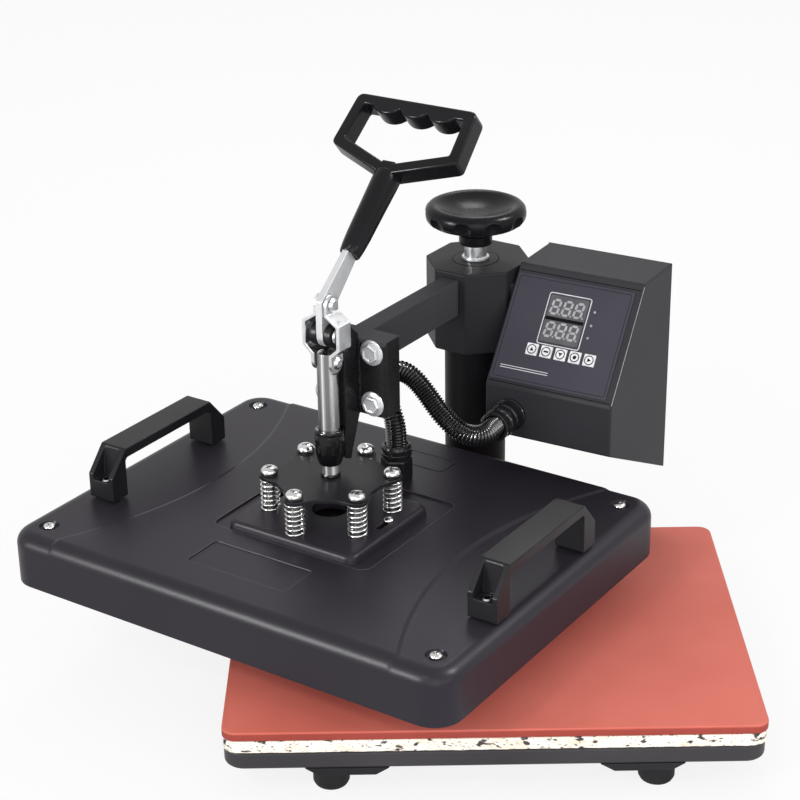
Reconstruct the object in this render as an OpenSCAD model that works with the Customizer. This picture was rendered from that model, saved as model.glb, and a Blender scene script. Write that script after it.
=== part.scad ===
// Swing-away heat press. A bed on runners carries a post, a turning head hangs on the post, and a
// spring-hung hot platen is pressed down by a toggle lever.
// Millimetres, +Z up, floor at z = 0. The head is drawn turned away from the bed with its lever up.

/* [Bed] */
// Width of the silicone sheet and foam
bed_w = 380; // [340:1:400]
// Depth of the silicone sheet and foam
bed_d = 295; // [270:1:320]
// Thickness of the silicone sheet
sheet_t = 7; // [4:0.5:9]
// Thickness of the foam board
foam_t = 10.5; // [8:0.5:14]
// Thickness of the bed plate
bed_t = 12.5; // [10:0.5:16]
// Corner radius of the bed and its layers
bed_corner = 10; // [6:1:20]
// How far the bed plate stands in from the sheet
bed_inset = 0.5; // [0.5:0.5:5]

/* [Frame] */
// Top width of a runner
runner_w = 60; // [50:1:70]
// Thickness of a runner
runner_t = 6; // [4:0.5:8]
// Centre of each runner from the middle line
runner_x = 103; // [90:1:115]
// How far a runner narrows on each side towards its underside
runner_lip = 10; // [4:1:14]
// Diameter of a rubber foot
foot_d = 26; // [20:1:30]
// Height of a rubber foot
foot_h = 18; // [14:1:24]
// Foot centre outside the runner centre
foot_out = 12; // [10:1:14]
// Front foot centre behind the front edge of the bed
foot_in = 20; // [16:1:30]
// Thickness of the rear plate
rear_t = 10; // [8:0.5:10]
// Depth of the rear plate
rear_d = 84; // [80:1:90]

/* [Post] */
// Post axis behind the back edge of the bed
post_behind = 52; // [48:1:70]
// Outside diameter of the post
post_d = 50; // [46:1:52]
// Wall of the post tube
post_wall = 5; // [4:0.5:6]
// Diameter of the flange at the foot of the post
flange_d = 76; // [74:1:78]
// Thickness of that flange
flange_t = 8; // [6:0.5:10]

/* [Head] */
// How far the head is drawn turned away from the bed, in degrees
swing = 34.1; // [0:0.1:40]
// Width of the head block
head_w = 76; // [74:1:90]
// Front face of the head block from the post axis
head_front = 38.5; // [37:0.5:45]
// Back face of the head block from the post axis
head_back = 45.5; // [40:0.5:55]
// Corner cut of the head block
head_cut = 24; // [16:1:26]
// Height of the head block
head_h = 68; // [66:1:80]
// Solid roof of the head block above its bore
head_roof = 14; // [13:0.5:15]
// Width of the swing arm
arm_w = 16; // [12:1:20]
// Height of the swing arm
arm_h = 30; // [24:1:40]
// Arm top below the top of the head block
arm_drop = 5; // [2:0.5:10]

/* [Pressure knob] */
// Diameter of the pressure screw
screw_d = 18; // [16:0.5:20]
// Rim radius of the knob
knob_r = 40; // [36:1:44]
// Height of the knob rim above the head block
knob_rise = 45; // [43:1:50]
// Radius of the knob hub
hub_r = 13; // [12:0.5:15]
// Visible length of screw between head block and knob
screw_show = 13; // [10:0.5:15]

/* [Bracket] */
// Width of the bracket channel
bracket_w = 64; // [60:1:70]
// Height of the bracket channel
bracket_h = 60; // [56:1:64]
// Thickness of the bracket web
web_t = 5; // [4:0.5:6]
// Thickness of the bracket side walls
wall_t = 4; // [3:0.5:5]
// Depth of the bracket side walls
wall_d = 20; // [16:1:24]
// Bracket face behind the rod axis
web_gap = 27; // [26:0.5:32]
// Width of the rib that carries the guide bush and the ears
rib_w = 18.4; // [18:0.1:19]
// Thickness of one ear
ear_t = 6; // [5:0.5:6]
// Radius of an ear round the lever pin
ear_r = 9; // [8:0.5:9]

/* [Toggle] */
// Distance from the lever pin to the link pin
crank = 23.5; // [22.5:0.5:25]
// Distance between the two link holes
link_len = 44.5; // [43:0.5:47]
// Width of a link
link_w = 15; // [13:0.5:15]
// Thickness of a link
link_t = 3; // [2:0.5:4]
// Inside half width of the links where they pass the ears
link_bow = 13.5; // [12.5:0.5:15]
// Thickness of the lever bar
lever_t = 5.4; // [4.4:0.2:5.6]
// Radius of the lever bar round its pin
lever_r = 9; // [8:0.5:9]
// Diameter of the lever pin
pivot_d = 8; // [6:0.5:9]
// Diameter of the link pins and studs
link_pin_d = 6; // [5:0.5:7]
// Diameter of the plunger rod
rod_d = 16; // [14:0.5:17]
// Length of the plunger rod above the spring plate
rod_len = 100; // [96:1:110]
// Width across the flats at the top of the rod
rod_flat = 12; // [11:0.5:13]
// Outside diameter of the guide bush
bush_od = 22.5; // [22:0.5:24]
// Length of the guide bush
bush_len = 30; // [24:1:31]

/* [Lever] */
// How far the lever leans back from upright, in degrees
lever_back = 48.5; // [40:0.5:60]
// Length from the link pin to the top of the grip
lever_len = 171; // [164:1:186]
// Outside width of the grip loop
grip_w = 110; // [100:1:126]
// Thickness of the grip bars seen from the front
grip_bar = 9; // [8:0.5:11]
// Depth of the grip bars from front to back
grip_t = 17; // [14:0.5:20]

/* [Platen] */
// Width of the platen cover
cover_w = 391; // [370:1:400]
// Depth of the platen cover
cover_d = 309; // [296:1:320]
// Height of the platen cover
cover_h = 42.5; // [40:0.5:50]
// Sheet thickness of the platen cover
cover_wall = 2; // [1.5:0.1:2.5]
// Radius of the rolled top edge
edge_r = 12; // [10:0.5:18]
// Radius of the upright corners
corner_r = 22; // [19:0.5:26]
// Open gap between the silicone sheet and the hot face
open_gap = 32; // [20:0.5:40]
// Width of the raised boss
boss_w = 140; // [134:1:150]
// Depth of the raised boss
boss_d = 126; // [122:1:130]
// Height of the raised boss
boss_h = 6; // [4:0.5:8]
// Thickness of the hot plate
hot_t = 12; // [10:0.5:14]
// Rod axis in front of the platen centre
rod_forward = 5.5; // [0:0.5:6]

/* [Springs] */
// Height of the springs between boss and spring plate
spring_len = 25.5; // [22:0.5:30]
// Outside diameter of a spring
spring_od = 16; // [14:0.5:17]
// Wire diameter of a spring
wire_d = 1.8; // [1.4:0.1:2.2]
// Curls in one spring
curls = 5.5; // [4:0.5:6]
// Circle radius of the six springs
spring_ring = 46; // [44:0.5:48]
// Thickness of the spring plate
spring_plate_t = 3; // [2:0.5:4]

/* [Handles] */
// Centre of each handle from the middle of the platen
handle_x = 166; // [160:1:168]
// How much further out the right handle sits
handle_out = 10.5; // [0:0.5:11]
// Length of a handle
handle_len = 138; // [130:1:146]
// Width of a handle
handle_w = 24; // [22:0.5:26]
// Height of a handle
handle_h = 39; // [36:0.5:44]
// Thickness of the handle bar
handle_bar = 8; // [6:0.5:10]
// Length of a handle foot
handle_foot = 17; // [16:0.5:19]

/* [Control box] */
// How far the box is turned on the head, in degrees
box_turn = 4; // [0:0.5:5]
// Left wall of the box from the post axis
box_left = 40.5; // [40.5:0.5:46]
// Width of the box
box_w = 107.5; // [104:0.5:116]
// Front face of the box from the post axis
box_front = 60; // [58:0.5:64]
// Back face of the box from the post axis
box_back = 50; // [48:0.5:56]
// Depth of the flat box top
box_top_d = 51; // [46:0.5:54]
// Height of the box front below the panel
box_chin = 41; // [38:0.5:46]
// Height of the box at its back
box_h = 177; // [170:1:186]
// Sheet thickness of the box
box_wall = 2; // [1.5:0.1:2.5]
// Side of a square key
key_w = 9.6; // [8:0.2:10]
// Distance between keys
key_step = 12.2; // [11.4:0.2:12.4]

/* [Hose] */
// Outside diameter of the ribbed hose
hose_d = 16.5; // [15:0.5:17]
// Bore of the ribbed hose
hose_bore = 11; // [9:0.5:12]
// Depth of a rib
rib_depth = 1.2; // [0.6:0.1:1.4]
// Ribs on the whole hose
ribs = 70; // [50:2:80]

/* [Fits] */
// Radial running clearance of pins and shafts
slip = 0.05; // [0.02:0.01:0.09]
// Free gap between bodies that move past each other
gap = 0.3; // [0.3:0.05:0.4]

/* [Hidden] */
$fn = 48;

// Place of the bed centre, chosen so that the origin lies under the middle of the whole machine
bed_x = 81;
bed_y = -34;

// Heights from the floor up
runner_z = foot_h;
bed_z = runner_z + runner_t;
foam_z = bed_z + bed_t;
sheet_z = foam_z + foam_t;
pad_top = sheet_z + sheet_t;
rear_top = bed_z + rear_t;
hot_z = pad_top + open_gap;
cover_z = hot_z + 1;
cover_top = cover_z + cover_h;
boss_top = cover_top + boss_h;
spring_plate_z = boss_top + spring_len;
rod_z = spring_plate_z + spring_plate_t;
rod_tip = 7;
rod_tip_d = 12;
rod_eye = 7;
rod_top = rod_z + rod_len;
eye_z = rod_top - rod_eye;
pivot_z = eye_z + link_len - crank;
knuckle_z = pivot_z + crank;
bush_z = rod_z + rod_tip;
arm_top = pivot_z - ear_r - 2;
head_top = arm_top + arm_drop;
head_z = head_top - head_h;
bracket_z = arm_top - bracket_h;

// Places in plan
reach = bed_d / 2 + post_behind;
rod_reach = reach + rod_forward;
post_x = bed_x;
post_y = bed_y + reach;
web_y = -(rod_reach - web_gap);
front_y = bed_y - bed_d / 2;
frame_back = post_y + rear_d / 2;
foot_x = runner_x + foot_out;
rear_foot_y = post_y + 24;

// Post, bushes and screw
post_in = post_d - 2 * post_wall;
post_top = head_top - head_roof - 9;
bush_out = post_d + 8;
bush_in = post_d + 2 * slip;
sleeve_h = 18;
nut_h = 30;
bearing_d = 2 * screw_d + 0.4;
bearing_t = 6;
screw_low = post_top - 75;
shoulder_d = screw_d + 4;

// Fasteners
m4 = 4;
m5 = 5;
m6 = 6;
m8 = 8;
bed_bolt_y = 90;
bed_bolts_at = [for (s = [-1, 1], t = [-1, 1]) [bed_x + s * runner_x, bed_y + t * bed_bolt_y]];
feet_at = [for (s = [-1, 1], y = [front_y + foot_in, rear_foot_y]) [bed_x + s * foot_x, y]];
rear_bolts_at = [for (s = [-1, 1]) [bed_x + s * (runner_x - 8), post_y - 24]];
flange_bolts_at = [for (a = [45:90:315]) [post_x + 31.5 * cos(a), post_y + 31.5 * sin(a)]];
bracket_bolts_at = [for (x = [-21, 21], z = [bracket_z + 10, arm_top - 9]) [x, z]];

// Platen layout in the platen's own frame
screw_x = cover_w / 2 - 22.75;
screw_y = cover_d / 2 - 25.4;
dimple_d = 14;
dimple = 3;
pillar_d = 11;
hot_w = cover_w - 2 * cover_wall - 5;
hot_d = cover_d - 2 * cover_wall - 5;
tube_d = 8;
hot_top = hot_z + hot_t;
wool_z = hot_top + tube_d;
wool_top = cover_top - cover_wall;
wool_w = 290;
wool_d = 236;
handle_y = -8;
function handle_at(side) = side * handle_x + (side > 0 ? handle_out : 0);
handle_z = cover_top;
handle_hole = handle_len / 2 - 6.5;
gland_x = 5;
gland_y = 75;
gland_d = 23.5;
gland_top = cover_top + 30;
spring_screws_at = [for (a = [30:60:330]) [spring_ring * cos(a), spring_ring * sin(a) - rod_forward]];

// Lever and grip
lever_lean = 90 - lever_back;
neck = 42;
loop_low = 104;

// Control box
box_top = head_top + 4;
box_low = box_top - box_h;
panel_top_y = box_back - box_top_d;
panel_z = box_low + 96;
panel_a = atan2(box_top - panel_z, panel_top_y + box_front);
panel_len = norm([box_top - panel_z, panel_top_y + box_front]);
chin_z = panel_z - box_chin;
skin = 0.8;
back_t = 1.5;
window_w = 32.5;
window_h = 38;
window_x = 34.5;
window_y = 41;
key_hole = key_w + 2 * gap;
key_row = 33;
key_first = 31;
key_travel = 0.8;
key_head = 1.6;
board_z = -10;
board_t = 1.6;
box_gland_x = 62.8;
box_gland_z = box_low + 73.5;
box_gland_d = 22;
box_gland_len = 29;
back_screws_at = [for (x = [box_left + 8, box_left + box_w - 8], z = [box_low + 20, box_top - 9]) [x, z]];
lug_screws_at = [for (z = [head_z + 24, head_z + 46]) [3, z]];
rocker_x = box_left + 30;
rocker_z = box_low + 70;
rocker_half = 9;
rocker_r = 10.5;
rocker_w = 11;
rocker_tilt = 9;

// Hose route in the head's frame, hand-chosen points of a smooth curve, drawn for the sizes above
hose_seat = 12;
hose_drawn = [
  [5, -124.5, 147], [5, -124.5, 159], [5, -124.5, 171], [2, -124, 184], [-9, -120, 195],
  [-11, -117, 209], [2, -115, 219], [16, -114, 213], [28, -114, 201], [39, -115, 190],
  [50, -115, 182], [59, -113, 176], [66, -107, 173], [70, -98, 172.5], [69.5, -91, 172.5],
  [68.7, -82, 172.5], [68, -72.4, 172.5]
];
hose_start = [gland_x, gland_y - reach, gland_top - hose_seat - 0.5];
hose_end_x = box_gland_x;
hose_end_y = -box_front - box_gland_len + hose_seat;
hose_end = [
  hose_end_x * cos(box_turn) - hose_end_y * sin(box_turn),
  hose_end_x * sin(box_turn) + hose_end_y * cos(box_turn),
  box_gland_z
];
hose_last = len(hose_drawn) - 1;
function share(i) = min(max((i - 2) / (hose_last - 4), 0), 1);
hose_route = [
  for (i = [0:hose_last])
    hose_drawn[i] + (hose_start - hose_drawn[0]) * (1 - share(i))
      + (hose_end - hose_drawn[hose_last]) * share(i)
];

black = [0.13, 0.12, 0.14];
steel = [0.72, 0.72, 0.74];
rubber = [0.09, 0.09, 0.09];

// Frames

module in_head() {
  translate([post_x, post_y, 0]) rotate([0, 0, -swing]) children();
}

module in_platen() {
  in_head() translate([0, -reach, 0]) children();
}

module in_box() {
  in_head() rotate([0, 0, box_turn]) children();
}

module on_panel() {
  in_box() translate([box_left, -box_front, panel_z]) rotate([panel_a, 0, 0]) children();
}

module on_back(x, z) {
  in_box() translate([x, box_back, z]) rotate([-90, 0, 0]) children();
}

module on_lever() {
  in_head() translate([0, -rod_reach, knuckle_z]) rotate([lever_lean, 0, 0]) children();
}

// Outline seen from the side (y, z), thick along x about the middle
module side_slab(t) {
  rotate([90, 0, 90]) translate([0, 0, -t / 2]) linear_extrude(t) children();
}

// Outline seen from the front (x, z), from y0 back to y1
module front_slab(y0, y1) {
  translate([0, y1, 0]) rotate([90, 0, 0]) linear_extrude(y1 - y0) children();
}

// Cylinder along x about the middle
module cross_pin(d, len) {
  rotate([0, 90, 0]) translate([0, 0, -len / 2]) cylinder(d = d, h = len);
}

// Block from one corner to the opposite one
module block(lo, hi) {
  translate(lo) cube(hi - lo);
}

module round_rect(w, d, r) {
  square([w - 2 * r, d], center = true);
  square([w, d - 2 * r], center = true);
  for (x = [-1, 1], y = [-1, 1]) {
    translate([x * (w / 2 - r), y * (d / 2 - r)]) circle(r);
  }
}

module round_plate(w, d, t, r) {
  linear_extrude(t) round_rect(w, d, r);
}

// Half outline of a block with a rolled top edge
module rolled_half(half, h, r) {
  square([half, h - r]);
  square([half - r, h]);
  translate([half - r, h - r]) circle(r);
}

// Rectangular block with upright corners of one radius and a rolled top edge of another
module rolled_block(w, d, h, rc, re) {
  a = w / 2 - rc;
  b = d / 2 - rc;
  for (s = [-1, 1], t = [-1, 1]) {
    translate([s * a, t * b, 0]) rotate([0, 0, s * t > 0 ? (s > 0 ? 0 : 180) : (s > 0 ? 270 : 90)])
      rotate_extrude(angle = 90) intersection() {
        rolled_half(rc, h, re);
        square([rc, h]);
      }
  }
  for (s = [0, 180]) {
    rotate([0, 0, s]) translate([a, -b, 0]) rotate([90, 0, 180]) mirror([1, 0, 0])
      linear_extrude(2 * b) rolled_half(rc, h, re);
    rotate([0, 0, s + 90]) translate([b, -a, 0]) rotate([90, 0, 180]) mirror([1, 0, 0])
      linear_extrude(2 * a) rolled_half(rc, h, re);
  }
  block([-a, -b, 0], [a, b, h]);
}

module hex_bolt(d, head, grip) {
  translate([0, 0, -grip]) cylinder(d = d, h = grip);
  cylinder(d = 2.1 * d, h = 0.2 * head);
  cylinder(d = 1.75 * d, h = head, $fn = 6);
}

module pan_screw(d, head_d, head_h, grip) {
  difference() {
    union() {
      translate([0, 0, -grip]) cylinder(d = d, h = grip);
      cylinder(d = head_d, h = head_h * 0.55);
      translate([0, 0, head_h * 0.55]) cylinder(d1 = head_d, d2 = head_d * 0.6, h = head_h * 0.45);
    }
    for (a = [0, 90]) {
      rotate([0, 0, a]) translate([-head_d * 0.26, -head_d * 0.06, head_h * 0.55])
        cube([head_d * 0.52, head_d * 0.12, head_h]);
    }
  }
}

// Outline moved sideways by t, for a path of points
function unit(v) = v / norm(v);
function left_of(v) = [-v[1], v[0]];
function corner_shift(a, b, c, t) =
  let (m = left_of(unit(b - a)), n = left_of(unit(c - b))) b + (m + n) * t / (1 + m * n);
function inset_loop(p, t) =
  [for (i = [0:len(p) - 1]) corner_shift(p[(i + len(p) - 1) % len(p)], p[i], p[(i + 1) % len(p)], t)];
function inset_path(p, t) = [
  for (i = [0:len(p) - 1])
    i == 0 ? p[0] + left_of(unit(p[1] - p[0])) * t
    : i == len(p) - 1 ? p[i] + left_of(unit(p[i] - p[i - 1])) * t
    : corner_shift(p[i - 1], p[i], p[i + 1], t)
];

// Base

module runner(side) {
  difference() {
    translate([bed_x + side * runner_x, 0, runner_z]) front_slab(front_y, frame_back)
      polygon([
        [-runner_w / 2 + runner_lip, 0], [runner_w / 2 - runner_lip, 0],
        [runner_w / 2, runner_t], [-runner_w / 2, runner_t]
      ]);
    for (p = concat(bed_bolts_at, feet_at)) {
      translate([p[0], p[1], 0]) cylinder(d = m6, h = bed_z + 1);
    }
    for (p = rear_bolts_at) {
      translate([p[0], p[1], 0]) cylinder(d = m8, h = bed_z + 1);
    }
  }
}

module left_runner() {
  color(black) runner(-1);
}

module right_runner() {
  color(black) runner(1);
}

module rear_plate() {
  color(black) difference() {
    translate([bed_x, post_y, bed_z]) round_plate(2 * runner_x + runner_w, rear_d, rear_t, 8);
    for (p = concat(rear_bolts_at, flange_bolts_at)) {
      translate([p[0], p[1], 0]) cylinder(d = m8, h = rear_top + 1);
    }
    for (p = feet_at) {
      translate([p[0], p[1], 0]) cylinder(d = m6, h = bed_z + rear_t - 3);
    }
  }
}

module rubber_feet() {
  color(rubber) for (p = feet_at) {
    translate([p[0], p[1], 0]) difference() {
      union() {
        cylinder(d1 = foot_d - 3, d2 = foot_d, h = 3);
        translate([0, 0, 3]) cylinder(d = foot_d, h = foot_h - 3);
      }
      translate([0, 0, -1]) cylinder(d = 13, h = foot_h - 5);
      cylinder(d = m6, h = foot_h + 1);
    }
  }
}

module foot_screws() {
  color(steel) for (p = feet_at) {
    translate([p[0], p[1], foot_h - 6]) {
      translate([0, 0, -3.5]) cylinder(d = 11.5, h = 3.5);
      translate([0, 0, -3.5]) cylinder(d = m6, h = 3.5 + 6 + runner_t);
    }
  }
}

module lower_platen() {
  color(black) difference() {
    translate([bed_x, bed_y, bed_z])
      round_plate(bed_w - 2 * bed_inset, bed_d - 2 * bed_inset, bed_t, bed_corner + 5);
    for (p = concat(bed_bolts_at, feet_at)) {
      translate([p[0], p[1], bed_z - 1]) cylinder(d = m6, h = 8);
    }
  }
}

module bed_bolts() {
  color(steel) for (p = bed_bolts_at) {
    translate([p[0], p[1], runner_z]) mirror([0, 0, 1]) hex_bolt(m6, 4, runner_t + 7);
  }
}

module foam_board() {
  color([0.93, 0.90, 0.80]) translate([bed_x, bed_y, foam_z]) round_plate(bed_w, bed_d, foam_t, bed_corner);
}

module silicone_sheet() {
  color([0.78, 0.38, 0.32]) translate([bed_x, bed_y, sheet_z]) round_plate(bed_w, bed_d, sheet_t, bed_corner);
}

module post() {
  color(black) difference() {
    translate([post_x, post_y, rear_top]) union() {
      cylinder(d = post_d, h = post_top - rear_top);
      cylinder(d = flange_d, h = flange_t);
    }
    translate([post_x, post_y, rear_top - 1]) cylinder(d = post_in, h = post_top - rear_top + 2);
    for (p = flange_bolts_at) {
      translate([p[0], p[1], rear_top - 1]) cylinder(d = m8, h = flange_t + 2);
    }
  }
}

module frame_bolts() {
  color(steel) {
    for (p = rear_bolts_at) {
      translate([p[0], p[1], rear_top]) hex_bolt(m8, 5, rear_t + runner_t);
    }
    for (p = flange_bolts_at) {
      translate([p[0], p[1], rear_top + flange_t]) difference() {
        union() {
          translate([0, 0, -flange_t - rear_t]) cylinder(d = m8, h = flange_t + rear_t);
          cylinder(d = 12, h = 5);
        }
        translate([0, 0, 2]) cylinder(d = 7, h = 4, $fn = 6);
      }
    }
  }
}

module post_nut() {
  color([0.75, 0.6, 0.3]) translate([post_x, post_y, post_top - nut_h]) difference() {
    cylinder(d = post_in, h = nut_h);
    translate([0, 0, -1]) cylinder(d = screw_d + 2 * slip, h = nut_h + 2);
  }
}

// Pressure screw and knob

module thrust_bearing() {
  color(steel) translate([post_x, post_y, 0]) {
    translate([0, 0, head_top - bearing_t]) difference() {
      cylinder(d = bearing_d - 2 * slip, h = bearing_t);
      translate([0, 0, -1]) cylinder(d = screw_d + 2 * slip, h = bearing_t + 2);
    }
  }
}

module pressure_screw() {
  color(steel) translate([post_x, post_y, 0]) {
    translate([0, 0, screw_low]) cylinder(d = screw_d, h = head_top + screw_show + 5 - screw_low);
    translate([0, 0, head_top + gap]) cylinder(d = shoulder_d, h = 2);
    translate([0, 0, head_top - bearing_t - gap - 5]) cylinder(d = shoulder_d, h = 5);
  }
}

module pressure_knob() {
  rim = 7;
  rise = knob_rise - screw_show;
  color(black) translate([post_x, post_y, head_top + screw_show]) difference() {
    rotate_extrude() difference() {
      union() {
        square([hub_r, rise - 2 * rim]);
        polygon([
          [0, 9], [hub_r, 9], [hub_r + 9, rise - 2 * rim - 2], [knob_r - rim, rise - 2 * rim],
          [knob_r - rim, rise - rim],
          [0, rise - rim]
        ]);
        translate([knob_r - rim, rise - rim]) circle(rim);
      }
      translate([0, rise + 62]) circle(r = 69, $fn = 160);
      translate([-100, 0]) square([100, 100]);
    }
    translate([0, 0, -1]) cylinder(d = screw_d, h = 6);
    for (a = [0:36:324]) {
      rotate([0, 0, a]) translate([knob_r + 6.5, 0, -1]) cylinder(r = 9.5, h = rise - 5);
    }
  }
}

// Head

module head_block() {
  half = head_w / 2;
  color(black) in_head() difference() {
    union() {
      translate([0, 0, head_z]) linear_extrude(head_h) polygon([
        [-half, -head_front + head_cut], [-half + head_cut, -head_front], [half - head_cut, -head_front],
        [half, -head_front + head_cut], [half, head_back - head_cut], [half - head_cut, head_back],
        [-half + head_cut, head_back], [-half, head_back - head_cut]
      ]);
      rotate([0, 0, box_turn]) block([bush_out / 2 + 2, -11, head_z + 14], [box_left, 17, head_z + 56]);
    }
    translate([0, 0, head_z - 1]) cylinder(d = bush_out, h = head_h - head_roof + 1);
    translate([0, 0, head_z]) cylinder(d = shoulder_d + 2 * gap, h = head_h + 1);
    translate([0, 0, head_top - bearing_t]) cylinder(d = bearing_d, h = bearing_t + 1);
    rotate([0, 0, box_turn]) for (p = lug_screws_at) {
      translate([box_left - 7, p[0], p[1]]) rotate([0, 90, 0]) cylinder(d = m5, h = 8);
    }
  }
}

module sleeve_bushes() {
  color([0.72, 0.52, 0.26]) in_head() for (z = [head_z, head_z + 27]) {
    translate([0, 0, z]) difference() {
      cylinder(d = bush_out, h = sleeve_h);
      translate([0, 0, -1]) cylinder(d = bush_in, h = sleeve_h + 2);
    }
  }
}

module swing_arm() {
  back = web_y + web_t;
  half = bracket_w / 2 - wall_t - gap;
  color(black) in_head() difference() {
    union() {
      block([-arm_w / 2, back, arm_top - arm_h], [arm_w / 2, -head_front, arm_top]);
      block([-half, back, bracket_z + 2], [half, back + 8, arm_top - 2]);
    }
    for (p = bracket_bolts_at) {
      translate([p[0], back - 1, p[1]]) rotate([-90, 0, 0]) cylinder(d = m8, h = 10);
    }
  }
}

module arm_bracket() {
  half = bracket_w / 2;
  back = web_y + wall_d;
  rib_front = -(rod_reach - rod_d / 2 - 0.5);
  ear_in = rib_w / 2 - ear_t;
  color(black) in_head() difference() {
    union() {
      translate([0, 0, bracket_z]) linear_extrude(bracket_h) difference() {
        union() {
          translate([-half + wall_t, web_y]) square([bracket_w - 2 * wall_t, web_t]);
          for (s = [-1, 1]) {
            translate([s * (half - wall_t / 2), (web_y + wall_t + back) / 2])
              square([wall_t, back - web_y - wall_t], center = true);
            translate([s * (half - wall_t), web_y + wall_t]) circle(wall_t);
          }
        }
        translate([-half + wall_t, web_y + web_t]) square([bracket_w - 2 * wall_t, 2 * wall_d]);
      }
      side_slab(rib_w) polygon([
        [web_y, arm_top], [rib_front, arm_top], [rib_front, bush_z + bush_len - 2],
        [-rod_reach, bush_z + bush_len - 4], [-rod_reach, bush_z + 9], [rib_front + 6, bush_z + 3],
        [web_y, bracket_z]
      ]);
      difference() {
        side_slab(rib_w) {
          translate([-rod_reach, pivot_z]) circle(ear_r);
          polygon([
            [-rod_reach, pivot_z - ear_r], [rib_front + 1, pivot_z - ear_r - 3], [rib_front + 1, arm_top - 5],
            [web_y, arm_top - 5], [web_y, pivot_z - ear_r + 2], [-rod_reach + 12, pivot_z + ear_r - 2],
            [-rod_reach, pivot_z + ear_r]
          ]);
        }
        block([-ear_in, -rod_reach - 20, arm_top], [ear_in, web_y + 1, pivot_z + 20]);
      }
    }
    translate([0, -rod_reach, 0]) cylinder(d = bush_od, h = bush_z + bush_len);
    translate([0, -rod_reach, bush_z]) cylinder(d = rod_d + 1, h = arm_top - bush_z);
    translate([0, -rod_reach, pivot_z]) cross_pin(pivot_d, rib_w + 10);
    for (p = bracket_bolts_at) {
      translate([p[0], web_y - 1, p[1]]) rotate([-90, 0, 0]) cylinder(d = m8, h = web_t + 2);
    }
  }
}

module bracket_bolts() {
  color(steel) in_head() for (p = bracket_bolts_at) {
    translate([p[0], web_y, p[1]]) rotate([90, 0, 0]) hex_bolt(m8, 6, web_t + 10);
  }
}

module guide_bush() {
  color(black) in_head() translate([0, -rod_reach, bush_z]) difference() {
    union() {
      cylinder(d1 = rod_d + 2, d2 = bush_od, h = 9);
      translate([0, 0, 9]) cylinder(d = bush_od, h = bush_len - 9);
    }
    translate([0, 0, -1]) cylinder(d = rod_d + 2 * slip, h = bush_len + 2);
  }
}

module pivot_pin() {
  color(steel) in_head() translate([0, -rod_reach, pivot_z]) {
    cross_pin(pivot_d, rib_w);
    for (s = [0, 180]) {
      rotate([0, 0, s]) translate([rib_w / 2, 0, 0]) rotate([0, 90, 0])
        cylinder(d1 = pivot_d + 4, d2 = pivot_d + 1, h = 1.6);
    }
  }
}

// Control box

box_outline = [
  [-box_front, chin_z], [box_back, box_low], [box_back, box_top],
  [panel_top_y, box_top], [-box_front, panel_z]
];

module box_shell() {
  inner = inset_loop(box_outline, box_wall);
  middle = box_left + box_w / 2;
  color(black) difference() {
    union() {
      in_box() difference() {
        translate([middle, 0, 0]) side_slab(box_w) polygon(box_outline);
        translate([middle, 0, 0]) side_slab(box_w - 2 * box_wall) polygon(inner);
        translate([middle, box_wall + 1, 0]) side_slab(box_w - 2 * box_wall) polygon(inner);
      }
      in_box() for (p = back_screws_at) {
        side = p[0] < middle ? -1 : 1;
        wall = middle + side * (box_w / 2 - box_wall / 2);
        block(
          [min(wall, p[0] - side * 5), box_back - 12, p[1] - 5],
          [max(wall, p[0] - side * 5), box_back, p[1] + 5]
        );
      }
    }
    on_panel() {
      translate([window_x, window_y, -3 * box_wall]) cube([window_w, window_h, 6 * box_wall]);
      for (i = [0:4]) {
        translate([key_first + i * key_step - key_hole / 2, key_row - key_hole / 2, -3 * box_wall])
          cube([key_hole, key_hole, 6 * box_wall]);
      }
    }
    in_box() {
      translate([box_gland_x, -box_front + 8, box_gland_z]) rotate([90, 0, 0]) cylinder(d = 14, h = 16);
      for (p = lug_screws_at) {
        translate([box_left - 1, p[0], p[1]]) rotate([0, 90, 0]) cylinder(d = m5, h = box_wall + 2);
      }
      for (p = back_screws_at) {
        translate([p[0], box_back - 9, p[1]]) rotate([-90, 0, 0]) cylinder(d = m5, h = 10);
      }
    }
  }
}

module box_cover() {
  color(black) in_box() difference() {
    front_slab(box_back, box_back + back_t) translate([box_left, box_low]) square([box_w, box_h]);
    for (p = back_screws_at) {
      translate([p[0], box_back - 1, p[1]]) rotate([-90, 0, 0]) cylinder(d = m5, h = back_t + 2);
    }
    block(
      [rocker_x - rocker_w / 2 - 2, box_back - 1, rocker_z - rocker_r - 2],
      [rocker_x + rocker_w / 2 + 2, box_back + back_t + 1, rocker_z + rocker_r + 2]
    );
    translate([rocker_x + 28, box_back - 1, rocker_z]) rotate([-90, 0, 0]) cylinder(d = 12, h = back_t + 2);
    translate([rocker_x + 52, box_back - 1, rocker_z]) rotate([-90, 0, 0]) cylinder(d = 16, h = back_t + 2);
  }
}

module panel_overlay() {
  color([0.27, 0.26, 0.3]) on_panel() difference() {
    translate([2, 5, 0]) cube([99.5, 87, skin]);
    translate([window_x, window_y, -1]) cube([window_w, window_h, 3]);
    for (i = [0:4]) {
      translate([key_first + i * key_step - key_hole / 2, key_row - key_hole / 2, -1])
        cube([key_hole, key_hole, 3]);
    }
  }
}

module display_window() {
  color([0.2, 0.2, 0.22]) on_panel() translate([window_x, window_y, -box_wall])
    cube([window_w, window_h, box_wall + skin + 0.4]);
}

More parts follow.
